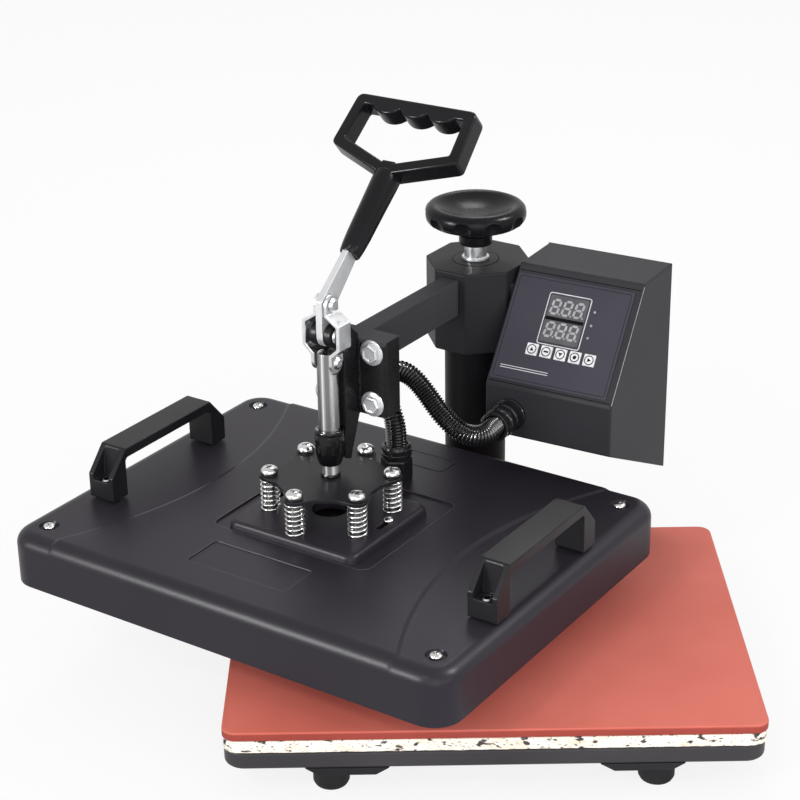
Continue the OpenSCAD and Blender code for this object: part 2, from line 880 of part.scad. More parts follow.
module circuit_board() {
  color([0.1, 0.3, 0.16]) on_panel() {
    translate([6, 6, board_z - board_t]) cube([92, 84, board_t]);
    for (x = [10, 94], y = [10, 86]) {
      translate([x, y, board_z]) cylinder(d = 6, h = -board_z - box_wall);
    }
    translate([window_x + 2, window_y + 2, board_z]) cube([window_w - 4, window_h - 4, -board_z - box_wall]);
    for (i = [0:4]) {
      translate([key_first + i * key_step, key_row, board_z]) cylinder(d = 4, h = 1);
    }
  }
}

module key_cap(i) {
  color([0.92, 0.92, 0.92]) on_panel() translate([key_first + i * key_step, key_row, 0]) {
    translate([-key_w / 2, -key_w / 2, -5]) cube([key_w, key_w, 5 + key_head]);
    translate([0, 0, board_z + 1 + key_travel + 0.1]) cylinder(d = 4, h = -board_z - 6 - key_travel);
  }
}

module key_up() {
  key_cap(0);
}

module key_set() {
  key_cap(1);
}

module key_down() {
  key_cap(2);
}

module key_mode() {
  key_cap(3);
}

module key_start() {
  key_cap(4);
}

module box_gland() {
  color(rubber) in_box() translate([box_gland_x, -box_front, box_gland_z]) rotate([90, 0, 0]) difference() {
    union() {
      translate([0, 0, -8]) cylinder(d = 14, h = 9);
      cylinder(d = box_gland_d + 4, h = 6);
      translate([0, 0, 6]) cylinder(d = box_gland_d, h = box_gland_len - 6);
      translate([0, 0, box_gland_len - 10]) cylinder(d = box_gland_d + 2, h = 4);
    }
    translate([0, 0, box_gland_len - hose_seat]) cylinder(d = hose_d + 2 * gap, h = hose_seat + 1);
    translate([0, 0, -9]) cylinder(d = 10, h = box_gland_len);
  }
}

module mains_gland() {
  color(rubber) on_back(rocker_x + 52, rocker_z) difference() {
    union() {
      translate([0, 0, -8]) cylinder(d = 16, h = 9 + back_t);
      translate([0, 0, back_t]) cylinder(d = 24, h = 5, $fn = 6);
      translate([0, 0, back_t + 5]) cylinder(d = 20, h = 12);
    }
    translate([0, 0, back_t + 11]) cylinder(d = 9, h = 7);
  }
}

module fuse_holder() {
  color(rubber) on_back(rocker_x + 28, rocker_z) difference() {
    union() {
      translate([0, 0, -30]) cylinder(d = 12, h = 31 + back_t);
      translate([0, 0, back_t]) cylinder(d = 16, h = 6);
    }
    translate([-5, -0.7, back_t + 4.8]) cube([10, 1.4, 3]);
  }
}

module switch_housing() {
  color(rubber) on_back(rocker_x, rocker_z) difference() {
    union() {
      translate([-rocker_w / 2 - 4, -rocker_r - 4, back_t]) cube([rocker_w + 8, 2 * rocker_r + 8, 2]);
      translate([-rocker_w / 2 - 2, -rocker_r - 2, -18]) cube([rocker_w + 4, 2 * rocker_r + 4, 18 + back_t]);
    }
    translate([-rocker_w / 2 - gap, -rocker_r - gap, -14])
      cube([rocker_w + 2 * gap, 2 * rocker_r + 2 * gap, 30]);
    translate([0, 0, -2]) cross_pin(3 + 2 * slip, rocker_w + 4);
  }
}

module switch_rocker() {
  color([0.7, 0.1, 0.1]) on_back(rocker_x, rocker_z) translate([0, 0, -2]) {
    rotate([rocker_tilt, 0, 0]) side_slab(rocker_w) polygon([
      [-rocker_half, 5], [0, 3.6], [rocker_half, 5], [rocker_half, 1], [3, -7], [-3, -7], [-rocker_half, 1]
    ]);
    cross_pin(3, rocker_w + 3);
  }
}

module box_screws() {
  color(steel) in_box() {
    for (p = back_screws_at) {
      translate([p[0], box_back + back_t, p[1]]) rotate([-90, 0, 0]) pan_screw(m5, 9, 3, back_t + 8);
    }
    for (p = lug_screws_at) {
      translate([box_left + box_wall, p[0], p[1]]) rotate([0, 90, 0]) pan_screw(m5, 9, 3, box_wall + 6);
    }
  }
}

// Hose: a ribbed tube with its bore, along a smooth curve through the hand-chosen points

function blend4(a, b, c, d, t) =
  (pow(1 - t, 3) * a + (3 * pow(t, 3) - 6 * t * t + 4) * b + (-3 * pow(t, 3) + 3 * t * t + 3 * t + 1) * c
    + pow(t, 3) * d) / 6;
function padded(p) = concat([2 * p[0] - p[1]], p, [2 * p[len(p) - 1] - p[len(p) - 2]]);
function curve(p, steps) = let (q = padded(p)) concat(
  [for (i = [0:len(q) - 4], s = [0:steps - 1]) blend4(q[i], q[i + 1], q[i + 2], q[i + 3], s / steps)],
  [p[len(p) - 1]]
);
function lengths(p) = [
  for (i = 0, s = 0; i < len(p); i = i + 1, s = s + (i < len(p) ? norm(p[i] - p[i - 1]) : 0)) s
];
function place(p, s, want, i = 0) =
  i >= len(p) - 2 || s[i + 1] >= want ? p[i] + (p[i + 1] - p[i]) * (want - s[i]) / (s[i + 1] - s[i])
  : place(p, s, want, i + 1);
function spaced(p, n) =
  let (s = lengths(p), total = s[len(s) - 1])
  [for (k = [0:n]) place(p, s, total * k / n)];
function tangents(p) = [for (i = [0:len(p) - 1]) unit(p[min(i + 1, len(p) - 1)] - p[max(i - 1, 0)])];
function flat_to(v, t) = unit(v - (v * t) * t);
function sides_of(t) = [
  for (i = 0, v = flat_to([1, 0, 0], t[0]); i < len(t); i = i + 1, v = i < len(t) ? flat_to(v, t[i]) : v) v
];
function ring(c, t, v, r, n) =
  let (w = cross(t, v))
  [for (k = [0:n - 1]) c + r * (cos(360 * k / n) * v + sin(360 * k / n) * w)];
function wall_faces(first, rows, n, out) = [
  for (i = [0:rows - 2], k = [0:n - 1], h = [0, 1])
    let (
      a = first + i * n + k, b = first + i * n + (k + 1) % n, c = a + n, d = b + n,
      f = h == 0 ? [a, c, b] : [b, c, d]
    ) out ? f : [f[0], f[2], f[1]]
];

hose_sides = 8;
hose_stations = spaced(curve(hose_route, 8), 2 * ribs);
hose_dirs = tangents(hose_stations);
hose_ups = sides_of(hose_dirs);
bore_every = 4;

module hose() {
  n = hose_sides;
  rows = len(hose_stations);
  inner = [for (i = [0:bore_every:rows - 1]) i];
  skin_points = [
    for (i = [0:rows - 1])
      each ring(hose_stations[i], hose_dirs[i], hose_ups[i], hose_d / 2 - (i % 2 == 0 ? rib_depth : 0), n)
  ];
  bore_points = [for (i = inner) each ring(hose_stations[i], hose_dirs[i], hose_ups[i], hose_bore / 2, n)];
  base = rows * n;
  last = base + (len(inner) - 1) * n;
  ends = [
    for (k = [0:n - 1])
      let (m = (k + 1) % n) each [
        [k, m, base + k], [m, base + m, base + k],
        [base - n + k, last + k, base - n + m], [base - n + m, last + k, last + m]
      ]
  ];
  color(rubber) in_head() polyhedron(
    concat(skin_points, bore_points),
    concat(wall_faces(0, rows, n, true), wall_faces(base, len(inner), n, false), ends)
  );
}

// Lever and links

module lever_bar() {
  lean = [cos(lever_lean), sin(lever_lean)];
  path = [[0, pivot_z], [0, knuckle_z], [0, knuckle_z] + neck * lean];
  left = inset_path(path, lever_r);
  right = inset_path(path, -lever_r);
  color(steel) in_head() difference() {
    translate([0, -rod_reach, 0]) side_slab(lever_t) {
      translate([0, pivot_z]) circle(lever_r);
      polygon(concat(left, [for (i = [len(right) - 1:-1:0]) right[i]]));
      translate([0, knuckle_z]) rotate(lever_lean) translate([5, -6]) square([loop_low - 13, 12]);
    }
    translate([0, -rod_reach, pivot_z]) cross_pin(pivot_d + 2 * slip, 20);
    translate([0, -rod_reach, knuckle_z]) cross_pin(link_pin_d, 20);
  }
}

module handle_grip() {
  half = grip_w / 2;
  top = half - 2.5;
  low = loop_low + 2;
  shoulder = low + 19.5;
  loop = [[0, low], [half, shoulder], [top, lever_len], [-top, lever_len], [-half, shoulder]];
  outside = [
    [0, low], [half, shoulder], [top, lever_len - 3], [top - 3, lever_len],
    [3 - top, lever_len], [-top, lever_len - 3], [-half, shoulder]
  ];
  color(black) on_lever() difference() {
    union() {
      translate([0, neck, 0]) rotate([-90, 0, 0]) cylinder(d1 = 18, d2 = 21, h = loop_low - neck);
      translate([0, 0, -grip_t / 2]) linear_extrude(grip_t) {
        difference() {
          polygon(outside);
          polygon(inset_loop(loop, grip_bar));
        }
        for (x = [-24, 0, 24]) {
          translate([x, lever_len - 5]) intersection() {
            circle(9);
            translate([-9, -10]) square([18, 13]);
          }
        }
        translate([-10, loop_low - 3]) square([20, 12]);
        translate([-7, low + grip_bar - 2]) square([14, 4.4]);
      }
    }
    translate([-lever_t / 2, neck - 1, -6]) cube([lever_t, loop_low - 8 - neck + 1, 12]);
  }
}

module link_pin() {
  out = lever_t / 2 + gap + link_t + gap;
  color(steel) in_head() translate([0, -rod_reach, knuckle_z]) {
    cross_pin(link_pin_d, 2 * out);
    for (s = [0, 180]) {
      rotate([0, 0, s]) translate([out, 0, 0]) rotate([0, 90, 0])
        cylinder(d1 = link_pin_d + 5, d2 = link_pin_d + 1, h = 2.2);
    }
  }
}

module link(side) {
  inner = [
    [lever_t / 2 + gap, knuckle_z + link_w], [lever_t / 2 + gap, knuckle_z - 7.5],
    [link_bow, knuckle_z - 14.5],
    [link_bow, eye_z + 13.5], [rod_flat / 2 + gap, eye_z + 7], [rod_flat / 2 + gap, eye_z - link_w]
  ];
  outer = inset_path(inner, link_t);
  color(steel) in_head() translate([0, -rod_reach, 0]) difference() {
    intersection() {
      mirror([side < 0 ? 1 : 0, 0, 0]) front_slab(-link_w, link_w)
        polygon(concat(inner, [for (i = [len(outer) - 1:-1:0]) outer[i]]));
      side_slab(60) {
        translate([0, knuckle_z]) circle(link_w / 2);
        translate([0, eye_z]) circle(link_w / 2);
        translate([-link_w / 2, eye_z]) square([link_w, link_len]);
      }
    }
    translate([0, 0, knuckle_z]) cross_pin(link_pin_d + 2 * slip, 60);
    translate([0, 0, eye_z]) cross_pin(link_pin_d, 60);
  }
}

module left_link() {
  link(-1);
}

module right_link() {
  link(1);
}

module link_studs() {
  inside = rod_flat / 2 + gap;
  color(steel) in_head() translate([0, -rod_reach, eye_z]) for (s = [0, 180]) {
    rotate([0, 0, s]) rotate([0, 90, 0]) {
      translate([0, 0, inside]) cylinder(d = link_pin_d, h = link_t);
      translate([0, 0, inside + link_t]) cylinder(d1 = link_pin_d + 4, d2 = link_pin_d, h = 2);
    }
  }
}

// Plunger

module plunger_rod() {
  color([0.85, 0.85, 0.87]) in_head() translate([0, -rod_reach, 0]) difference() {
    union() {
      translate([0, 0, spring_plate_z]) cylinder(d = rod_tip_d, h = spring_plate_t + rod_tip + 1);
      translate([0, 0, bush_z]) cylinder(d = rod_d, h = rod_top - bush_z);
    }
    for (s = [0, 180]) {
      rotate([0, 0, s]) block([rod_flat / 2, -rod_d, eye_z - link_w / 2 - 5], [rod_d, rod_d, rod_top + 1]);
    }
    translate([0, 0, eye_z]) cross_pin(link_pin_d, 2 * rod_d);
  }
}

module plunger_pin() {
  color(steel) in_head() translate([0, -rod_reach, eye_z]) cross_pin(link_pin_d, rod_flat - 2 * gap);
}

module spring_plate() {
  hole = m6 + 1;
  color(black) in_head() translate([0, -rod_reach, spring_plate_z])
    linear_extrude(spring_plate_t) difference() {
    union() {
      circle(spring_ring - 3);
      for (a = [30:60:330]) {
        rotate(a) translate([spring_ring, 0]) circle(9.5);
      }
    }
    for (a = [0:60:300]) {
      rotate(a) translate([spring_ring + 12, 0]) circle(17);
    }
    for (a = [30:60:330]) {
      rotate(a) translate([spring_ring, 0]) circle(d = hole);
    }
    circle(d = rod_tip_d);
  }
}

// Wound springs, one unbroken six-sided tube each, eight rings to a curl
coil_rings = ceil(curls * 8);
coil_r = spring_od / 2 - wire_d / 2;
coil_low = boss_top + gap + wire_d / 2;
coil_high = spring_plate_z - wire_d / 2;
function coil_point(i) = [
  coil_r * cos(45 * i), coil_r * sin(45 * i), coil_low + (coil_high - coil_low) * i / coil_rings
];
coil_path = [for (i = [0:coil_rings]) coil_point(i)];
coil_gap = min([
  for (i = [0:coil_rings - 4], j = [i + 4:coil_rings]) norm(coil_path[i] - coil_path[j])
]) - wire_d;
echo(least_spring_gap = coil_gap);

module coil() {
  n = 6;
  rows = len(coil_path);
  dirs = tangents(coil_path);
  points = [
    for (i = [0:rows - 1])
      let (out = unit([coil_path[i][0], coil_path[i][1], 0]))
      each ring(coil_path[i], dirs[i], flat_to(out, dirs[i]), wire_d / 2, n)
  ];
  last = (rows - 1) * n;
  caps = [for (k = [1:n - 2]) each [[0, k, k + 1], [last, last + k + 1, last + k]]];
  polyhedron(points, concat(wall_faces(0, rows, n, true), caps));
}

module springs() {
  color(steel) in_platen() for (p = spring_screws_at) {
    translate([p[0], p[1], 0]) coil();
  }
}

// Platen

module platen_cover() {
  color(black) in_platen() difference() {
    union() {
      difference() {
        translate([0, 0, cover_z]) rolled_block(cover_w, cover_d, cover_h, corner_r, edge_r);
        translate([0, 0, cover_z - 1]) rolled_block(
          cover_w - 2 * cover_wall, cover_d - 2 * cover_wall, cover_h - cover_wall + 1,
          corner_r - cover_wall, edge_r - cover_wall
        );
      }
      translate([0, 0, cover_top]) round_plate(boss_w, boss_d, boss_h / 3, 10);
      translate([0, 0, cover_top]) round_plate(boss_w - 14, boss_d - 12, boss_h * 0.7, 10);
      translate([0, 0, cover_top]) round_plate(boss_w - 27, boss_d - 18, boss_h, 10);
      for (x = [-1, 1], y = [-1, 1]) {
        translate([x * screw_x, y * screw_y, cover_top - dimple - cover_wall])
          cylinder(d = dimple_d + 4, h = dimple + 1);
      }
    }
    for (x = [-1, 1], y = [-1, 1]) {
      translate([x * screw_x, y * screw_y, cover_top - dimple]) cylinder(d = dimple_d, h = dimple + 1);
      translate([x * screw_x, y * screw_y, cover_top - 20]) cylinder(d = m5, h = 21);
    }
    translate([0, -rod_forward, cover_top - 10]) cylinder(d = 27, h = boss_h + 11);
    for (p = spring_screws_at) {
      translate([p[0], p[1], cover_top - 10]) cylinder(d = m6, h = boss_h + 11);
    }
    for (s = [-1, 1], t = [-1, 1]) {
      translate([handle_at(s), handle_y + t * handle_hole, cover_top - 10]) cylinder(d = m4, h = 11);
    }
    translate([gland_x, gland_y, cover_top - 10]) cylinder(d = 16, h = 11);
    translate([-6, -100, cover_top - 0.6]) round_plate(88, 35, 2, 3);
  }
}

module heat_plate() {
  color([0.7, 0.7, 0.7]) in_platen() difference() {
    union() {
      translate([0, 0, hot_z]) round_plate(hot_w, hot_d, hot_t, 16);
      for (x = [-1, 1], y = [-1, 1]) {
        translate([x * screw_x, y * screw_y, hot_z + hot_t - 1])
          cylinder(d = pillar_d, h = cover_top - dimple - cover_wall - hot_z - hot_t + 1);
      }
    }
    for (x = [-1, 1], y = [-1, 1]) {
      translate([x * screw_x, y * screw_y, hot_z + 5]) cylinder(d = m5, h = cover_h);
    }
    for (p = spring_screws_at) {
      translate([p[0], p[1], hot_top - 7]) cylinder(d = m6, h = 8);
    }
  }
}

module heating_element() {
  far = 75;
  color([0.45, 0.42, 0.4]) in_platen() translate([0, 0, hot_top + tube_d / 2]) {
    for (s = [-1, 1]) {
      translate([-110, s * far, 0]) rotate([0, 90, 0]) cylinder(d = tube_d, h = 170);
      translate([-118, s * far, 0]) rotate([0, 90, 0]) cylinder(d = tube_d - 3, h = 9);
    }
    translate([60, 0, 0]) rotate([0, 0, -90])
      rotate_extrude(angle = 180) translate([far, 0]) circle(d = tube_d);
  }
}

module insulation() {
  color([0.85, 0.83, 0.75]) in_platen() translate([0, 0, wool_z])
    linear_extrude(wool_top - wool_z) difference() {
    round_rect(wool_w, wool_d, 8);
    for (p = spring_screws_at) {
      translate(p) circle(d = m6 + 2);
    }
  }
}

module handle(side) {
  half = handle_len / 2;
  slope = handle_h * 0.5;
  ledge = 15;
  pocket = handle_w - 9;
  color(black) in_platen() translate([handle_at(side), handle_y, handle_z]) difference() {
    side_slab(handle_w) polygon([
      [-half, 0], [-half, slope], [-half + handle_foot, handle_h], [half - handle_foot, handle_h],
      [half, slope], [half, 0],
      [half - handle_foot, 0], [half - handle_foot, handle_h - handle_bar - 2],
      [half - handle_foot - 2, handle_h - handle_bar],
      [-half + handle_foot + 2, handle_h - handle_bar],
      [-half + handle_foot, handle_h - handle_bar - 2], [-half + handle_foot, 0]
    ]);
    for (s = [0, 180]) {
      rotate([0, 0, s]) {
        side_slab(pocket) polygon([
          [-half - 1, ledge], [-half + 12.5, ledge],
          [-half + handle_foot - 1, handle_h + 1], [-half - 1, handle_h + 1]
        ]);
        translate([0, -handle_hole, -1]) cylinder(d = m4, h = handle_h);
        translate([0, -handle_hole, ledge - 3]) cylinder(d = 9, h = handle_h);
      }
    }
  }
}

module left_handle() {
  handle(-1);
}

module right_handle() {
  handle(1);
}

module handle_screws() {
  color(steel) in_platen() for (s = [-1, 1], t = [-1, 1]) {
    translate([handle_at(s), handle_y + t * handle_hole, handle_z + 12])
      pan_screw(m4, 8, 2.8, 12 + cover_wall + 5);
  }
}

module cover_screws() {
  color(steel) in_platen() for (x = [-1, 1], y = [-1, 1]) {
    translate([x * screw_x, y * screw_y, cover_top - dimple])
      pan_screw(m5, 9, 3, cover_top - dimple - hot_top + 6);
  }
}

module spring_screws() {
  color(steel) in_platen() for (p = spring_screws_at) {
    translate([p[0], p[1], rod_z + gap]) pan_screw(m6, 12, 4, rod_z + gap - hot_top + 6);
  }
}

module platen_gland() {
  color(rubber) in_platen() translate([gland_x, gland_y, cover_top]) difference() {
    union() {
      translate([0, 0, -cover_wall]) cylinder(d = 16, h = cover_wall + 1);
      cylinder(d = gland_d + 3, h = 5, $fn = 6);
      translate([0, 0, 5]) cylinder(d = gland_d, h = 15);
      translate([0, 0, 20]) cylinder(d = gland_d + 1.5, h = 4);
      translate([0, 0, 24]) cylinder(d1 = gland_d, d2 = gland_d - 3, h = gland_top - cover_top - 24);
    }
    translate([0, 0, 10]) cylinder(d = hose_d + 2 * gap, h = 30);
    translate([0, 0, -cover_wall - 1]) cylinder(d = 10, h = 30);
  }
}

left_runner();
right_runner();
rear_plate();
rubber_feet();
foot_screws();
lower_platen();
bed_bolts();
foam_board();
silicone_sheet();
post();
frame_bolts();
post_nut();
thrust_bearing();
pressure_knob();
pressure_screw();
head_block();
sleeve_bushes();
swing_arm();
arm_bracket();
bracket_bolts();
guide_bush();
pivot_pin();
box_shell();
box_cover();
panel_overlay();
display_window();
circuit_board();
box_gland();
mains_gland();
switch_housing();
fuse_holder();
box_screws();
hose();
key_up();
key_set();
key_down();
key_mode();
key_start();
switch_rocker();
lever_bar();
handle_grip();
link_pin();
left_link();
right_link();
link_studs();
plunger_rod();
plunger_pin();
spring_plate();
springs();
platen_cover();
heat_plate();
heating_element();
insulation();
left_handle();
right_handle();
handle_screws();
cover_screws();
spring_screws();
platen_gland();
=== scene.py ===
from math import cos, pi, radians, sin

import bmesh
import bpy
from mathutils import Matrix, Vector


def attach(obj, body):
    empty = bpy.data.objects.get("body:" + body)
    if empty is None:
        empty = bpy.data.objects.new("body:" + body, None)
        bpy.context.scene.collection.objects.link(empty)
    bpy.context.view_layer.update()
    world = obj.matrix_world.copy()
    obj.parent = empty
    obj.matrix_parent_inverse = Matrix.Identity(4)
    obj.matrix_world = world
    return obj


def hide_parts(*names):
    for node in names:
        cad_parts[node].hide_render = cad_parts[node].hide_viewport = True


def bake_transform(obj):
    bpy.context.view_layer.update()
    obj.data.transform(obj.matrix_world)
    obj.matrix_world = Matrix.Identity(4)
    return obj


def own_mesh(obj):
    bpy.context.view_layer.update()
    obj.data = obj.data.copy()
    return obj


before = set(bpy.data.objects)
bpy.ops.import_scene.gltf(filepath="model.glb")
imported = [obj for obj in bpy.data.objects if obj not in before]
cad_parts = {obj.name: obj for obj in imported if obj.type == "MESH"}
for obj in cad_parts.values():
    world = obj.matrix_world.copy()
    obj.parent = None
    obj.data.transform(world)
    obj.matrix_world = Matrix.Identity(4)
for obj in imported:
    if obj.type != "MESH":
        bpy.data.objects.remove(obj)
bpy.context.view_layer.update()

# A millimetre in metres, how near counts as equal, and from how many degrees an edge counts as sharp.
MM = 0.001
NEAR = 1e-6
EDGE_ANGLE = 32


def shift(x, y, z):
    return Matrix.Translation((x, y, z))


def spin(angle, axis):
    return Matrix.Rotation(angle, 4, axis)


# Where the parts of the press sit: the post, the swung head, the platen, the control box, its panel and the lever.
POST_X, POST_Y = 0.081, 0.1655
BED_X, BED_Y = 0.081, -0.034
HEAD_SWING = radians(-34.1)
BOX_SWING = radians(-30.1)
PANEL_SLOPE = radians(53.93)
LEVER_SLOPE = radians(41.5)
ROD_REACH = 0.205
PLATEN_REACH = 0.1995

HEAD = shift(POST_X, POST_Y, 0) @ spin(HEAD_SWING, "Z")
PLATEN = HEAD @ shift(0, -PLATEN_REACH, 0)
ROD = HEAD @ shift(0, -ROD_REACH, 0)
BOX = shift(POST_X, POST_Y, 0) @ spin(BOX_SWING, "Z")
PANEL = BOX @ shift(0.0405, -0.060, 0.195) @ spin(PANEL_SLOPE, "X")
LEVER = ROD @ shift(0, 0, 0.3015) @ spin(LEVER_SLOPE, "X")
HERE = Matrix.Identity(4)


# Hand tools


def put_down():
    """Leaves edit mode and lets go of everything."""
    if bpy.context.object and bpy.context.object.mode != "OBJECT":
        bpy.ops.object.mode_set(mode="OBJECT")
    bpy.ops.object.select_all(action="DESELECT")


def hold(piece):
    """Selects one piece and nothing else."""
    put_down()
    piece.select_set(True)
    bpy.context.view_layer.objects.active = piece


def select_all():
    bpy.ops.mesh.select_all(action="SELECT")


def take_up(piece):
    """Opens a piece in edit mode with all of it selected."""
    hold(piece)
    bpy.ops.object.mode_set(mode="EDIT")
    select_all()


def begin(name):
    """Names the shape that was just added and opens it in edit mode."""
    piece = bpy.context.object
    piece.name = name
    take_up(piece)
    return piece


def face_out():
    """Turns every face of the open piece outwards."""
    select_all()
    bpy.ops.mesh.normals_make_consistent(inside=False)


def round_off(radius, steps):
    """Rounds the chosen edges of the open piece."""
    bpy.ops.mesh.bevel(offset=radius, segments=steps, profile=0.5, affect="EDGES")


def choose(piece, kind, test):
    """Selects the verts, edges or faces of the open piece that pass the test."""
    bpy.ops.mesh.select_mode(type=kind)
    mesh = bmesh.from_edit_mesh(piece.data)
    for group in (mesh.verts, mesh.edges, mesh.faces):
        for item in group:
            item.select = False
    for item in {"VERT": mesh.verts, "EDGE": mesh.edges, "FACE": mesh.faces}[kind]:
        if test(item):
            item.select_set(True)
    bmesh.update_edit_mesh(piece.data)


def upright(edge):
    a, b = edge.verts[0].co, edge.verts[1].co
    return abs(a.x - b.x) < NEAR and abs(a.y - b.y) < NEAR


def at_height(edge, z):
    return all(abs(v.co.z - z) < NEAR for v in edge.verts)


def block(name, size, centre):
    """A plain block of that size, left open in edit mode."""
    put_down()
    bpy.ops.mesh.primitive_cube_add(size=1)
    piece = begin(name)
    bpy.ops.transform.resize(value=size)
    bpy.ops.transform.translate(value=centre)
    return piece


def slab(name, size, centre, corner, steps):
    """A plate with round corners, left open in edit mode."""
    piece = block(name, size, centre)
    choose(piece, "EDGE", upright)
    round_off(corner, steps)
    return piece


def ease_rim(piece, z, radius, steps=3):
    """Rounds the rim of the open piece at one height."""
    choose(piece, "EDGE", lambda e: at_height(e, z))
    round_off(radius, steps)


def turned(name, profile, sides, unit=MM):
    """A piece turned about the upright axis, left open: the profile is (radius, height), mostly in millimetres."""
    profile = [(r * unit, z * unit) for r, z in profile]
    put_down()
    bpy.ops.mesh.primitive_circle_add(vertices=sides, radius=profile[0][0], fill_type="NGON")
    piece = begin(name)
    bpy.ops.transform.translate(value=(0, 0, profile[0][1]))
    for (r0, z0), (r1, z1) in zip(profile, profile[1:]):
        choose(piece, "FACE", lambda f, z=z0, r=r0: len(f.verts) == sides
               and abs(f.calc_center_median().z - z) < NEAR and abs(f.verts[0].co.to_2d().length - r) < NEAR)
        bpy.ops.mesh.extrude_region_move(TRANSFORM_OT_translate={"value": (0, 0, z1 - z0)})
        bpy.ops.transform.resize(value=(r1 / r0, r1 / r0, 1), center_override=(0, 0, z1))
    face_out()
    return piece


def modify(piece, kind, **settings):
    """Adds one modifier and applies it."""
    hold(piece)
    tool = piece.modifiers.new(kind.lower(), kind)
    for key, value in settings.items():
        setattr(tool, key, value)
    bpy.ops.object.modifier_apply(modifier=tool.name)


def ease_edges(piece, width, steps, angle):
    """Breaks the sharp edges, as paint and tumbling do."""
    modify(piece, "BEVEL", width=width, segments=steps, limit_method="ANGLE", angle_limit=radians(angle),
           use_clamp_overlap=False, harden_normals=False, miter_outer="MITER_ARC")


def smooth(piece, angle):
    hold(piece)
    bpy.ops.object.shade_smooth_by_angle(angle=radians(angle))


def smooth_flats(piece, angle):
    """Smooths the bends and lets the large faces lead the shading, so that flat faces look flat."""
    smooth(piece, angle)
    modify(piece, "WEIGHTED_NORMAL", mode="FACE_AREA", weight=50, keep_sharp=True)


def stepped(name, size, centre, corner, levels, steps=8):
    """A plate with round corners drawn upwards, left open: levels are (change of size, height)."""
    put_down()
    bpy.ops.mesh.primitive_plane_add(size=1)
    piece = begin(name)
    wide, deep = size
    bpy.ops.transform.resize(value=(wide, deep, 1))
    bpy.ops.mesh.bevel(offset=corner, segments=steps, profile=0.5, affect="VERTICES")
    select_all()
    bpy.ops.transform.translate(value=(*centre, levels[0][1]))
    for (g0, z0), (g1, z1) in zip(levels, levels[1:]):
        bpy.ops.mesh.extrude_region_move(TRANSFORM_OT_translate={"value": (0, 0, z1 - z0)})
        bpy.ops.transform.resize(value=((wide + g1) / (wide + g0), (deep + g1) / (deep + g0), 1),
                                 center_override=(*centre, z1))
    face_out()
    return piece


def flat(name, outline, low, high):
    """An outline in millimetres, filled and raised from low to high, left open."""
    put_down()
    bpy.ops.mesh.primitive_circle_add(vertices=len(outline), radius=1, fill_type="NGON")
    piece = bpy.context.object
    piece.name = name
    for vertex, (x, y) in zip(piece.data.vertices, outline):
        vertex.co = (x * MM, y * MM, low * MM)
    take_up(piece)
    bpy.ops.mesh.extrude_region_move(TRANSFORM_OT_translate={"value": (0, 0, (high - low) * MM)})
    face_out()
    return piece


def round_outline(x0, y0, x1, y1, r, steps=5):
    corners = [(x1 - r, y1 - r, 0), (x0 + r, y1 - r, 90), (x0 + r, y0 + r, 180), (x1 - r, y0 + r, 270)]
    return [(cx + r * cos(radians(a + 90 * k / steps)), cy + r * sin(radians(a + 90 * k / steps)))
            for cx, cy, a in corners for k in range(steps + 1)]


def frame_line(name, x0, y0, x1, y1, r, width, low, high):
    """A printed or pressed line round a rectangle."""
    piece = flat(name, round_outline(x0, y0, x1, y1, r), low, high)
    choose(piece, "FACE", lambda f: abs(f.normal.z) > 0.99)
    bpy.ops.mesh.inset(thickness=width * MM, depth=0)
    bpy.ops.mesh.bridge_edge_loops()
    face_out()
    put_down()
    return piece


def ring_outline(x, y, r, steps):
    return [(x + r * cos(2 * pi * k / steps), y + r * sin(2 * pi * k / steps)) for k in range(steps)]


def cut(piece, cutter):
    """Takes one shape out of another and throws the cutter away."""
    modify(piece, "BOOLEAN", operation="DIFFERENCE", solver="EXACT", object=cutter)
    bpy.data.objects.remove(cutter, do_unlink=True)


def merge(pieces, name):
    """Joins pieces into the first one."""
    put_down()
    for piece in pieces:
        piece.select_set(True)
    bpy.context.view_layer.objects.active = pieces[0]
    if len(pieces) > 1:
        bpy.ops.object.join()
    pieces[0].name = name
    return pieces[0]


def added(name, data):
    """A new thing in the scene."""
    thing = bpy.data.objects.new(name, data)
    bpy.context.collection.objects.link(thing)
    return thing


def copy_of(piece, name, place):
    """A second piece with a mesh of its own."""
    mesh = piece.data.copy()
    mesh.transform(place)
    return added(name, mesh)


def set_out(piece, name, places):
    """Copies of a piece, one at each place, joined under a new name. The pattern is thrown away."""
    copies = [copy_of(piece, piece.name, place) for place in places]
    bpy.data.objects.remove(piece, do_unlink=True)
    return merge(copies, name)


def carry(piece, place):
    """Moves the mesh of a piece."""
    put_down()
    piece.data.transform(place)
    return piece


def settle(piece, place, body, finish, *nodes, slot=None):
    """Puts a finished piece in its place, on its body, in its finish."""
    carry(piece, place)
    piece.data.materials.clear()
    piece.data.materials.append(FINISHES[finish])
    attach(piece, body)
    if nodes:
        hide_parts(*nodes)
    return piece


def lifted(node):
    """A merged copy of a CAD node's mesh, open in edit mode."""
    piece = added(node + "_dressed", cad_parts[node].data.copy())
    take_up(piece)
    bpy.ops.mesh.remove_doubles(threshold=1e-5)
    bpy.ops.mesh.dissolve_limited(angle_limit=radians(0.6))
    return piece


def dressed(node, body, finish, width, steps=2):
    """A CAD node with its edges broken, the width in millimetres."""
    piece = lifted(node)
    ease_edges(piece, width * MM, steps, EDGE_ANGLE)
    smooth_flats(piece, EDGE_ANGLE)
    return settle(piece, HERE, body, finish, node)


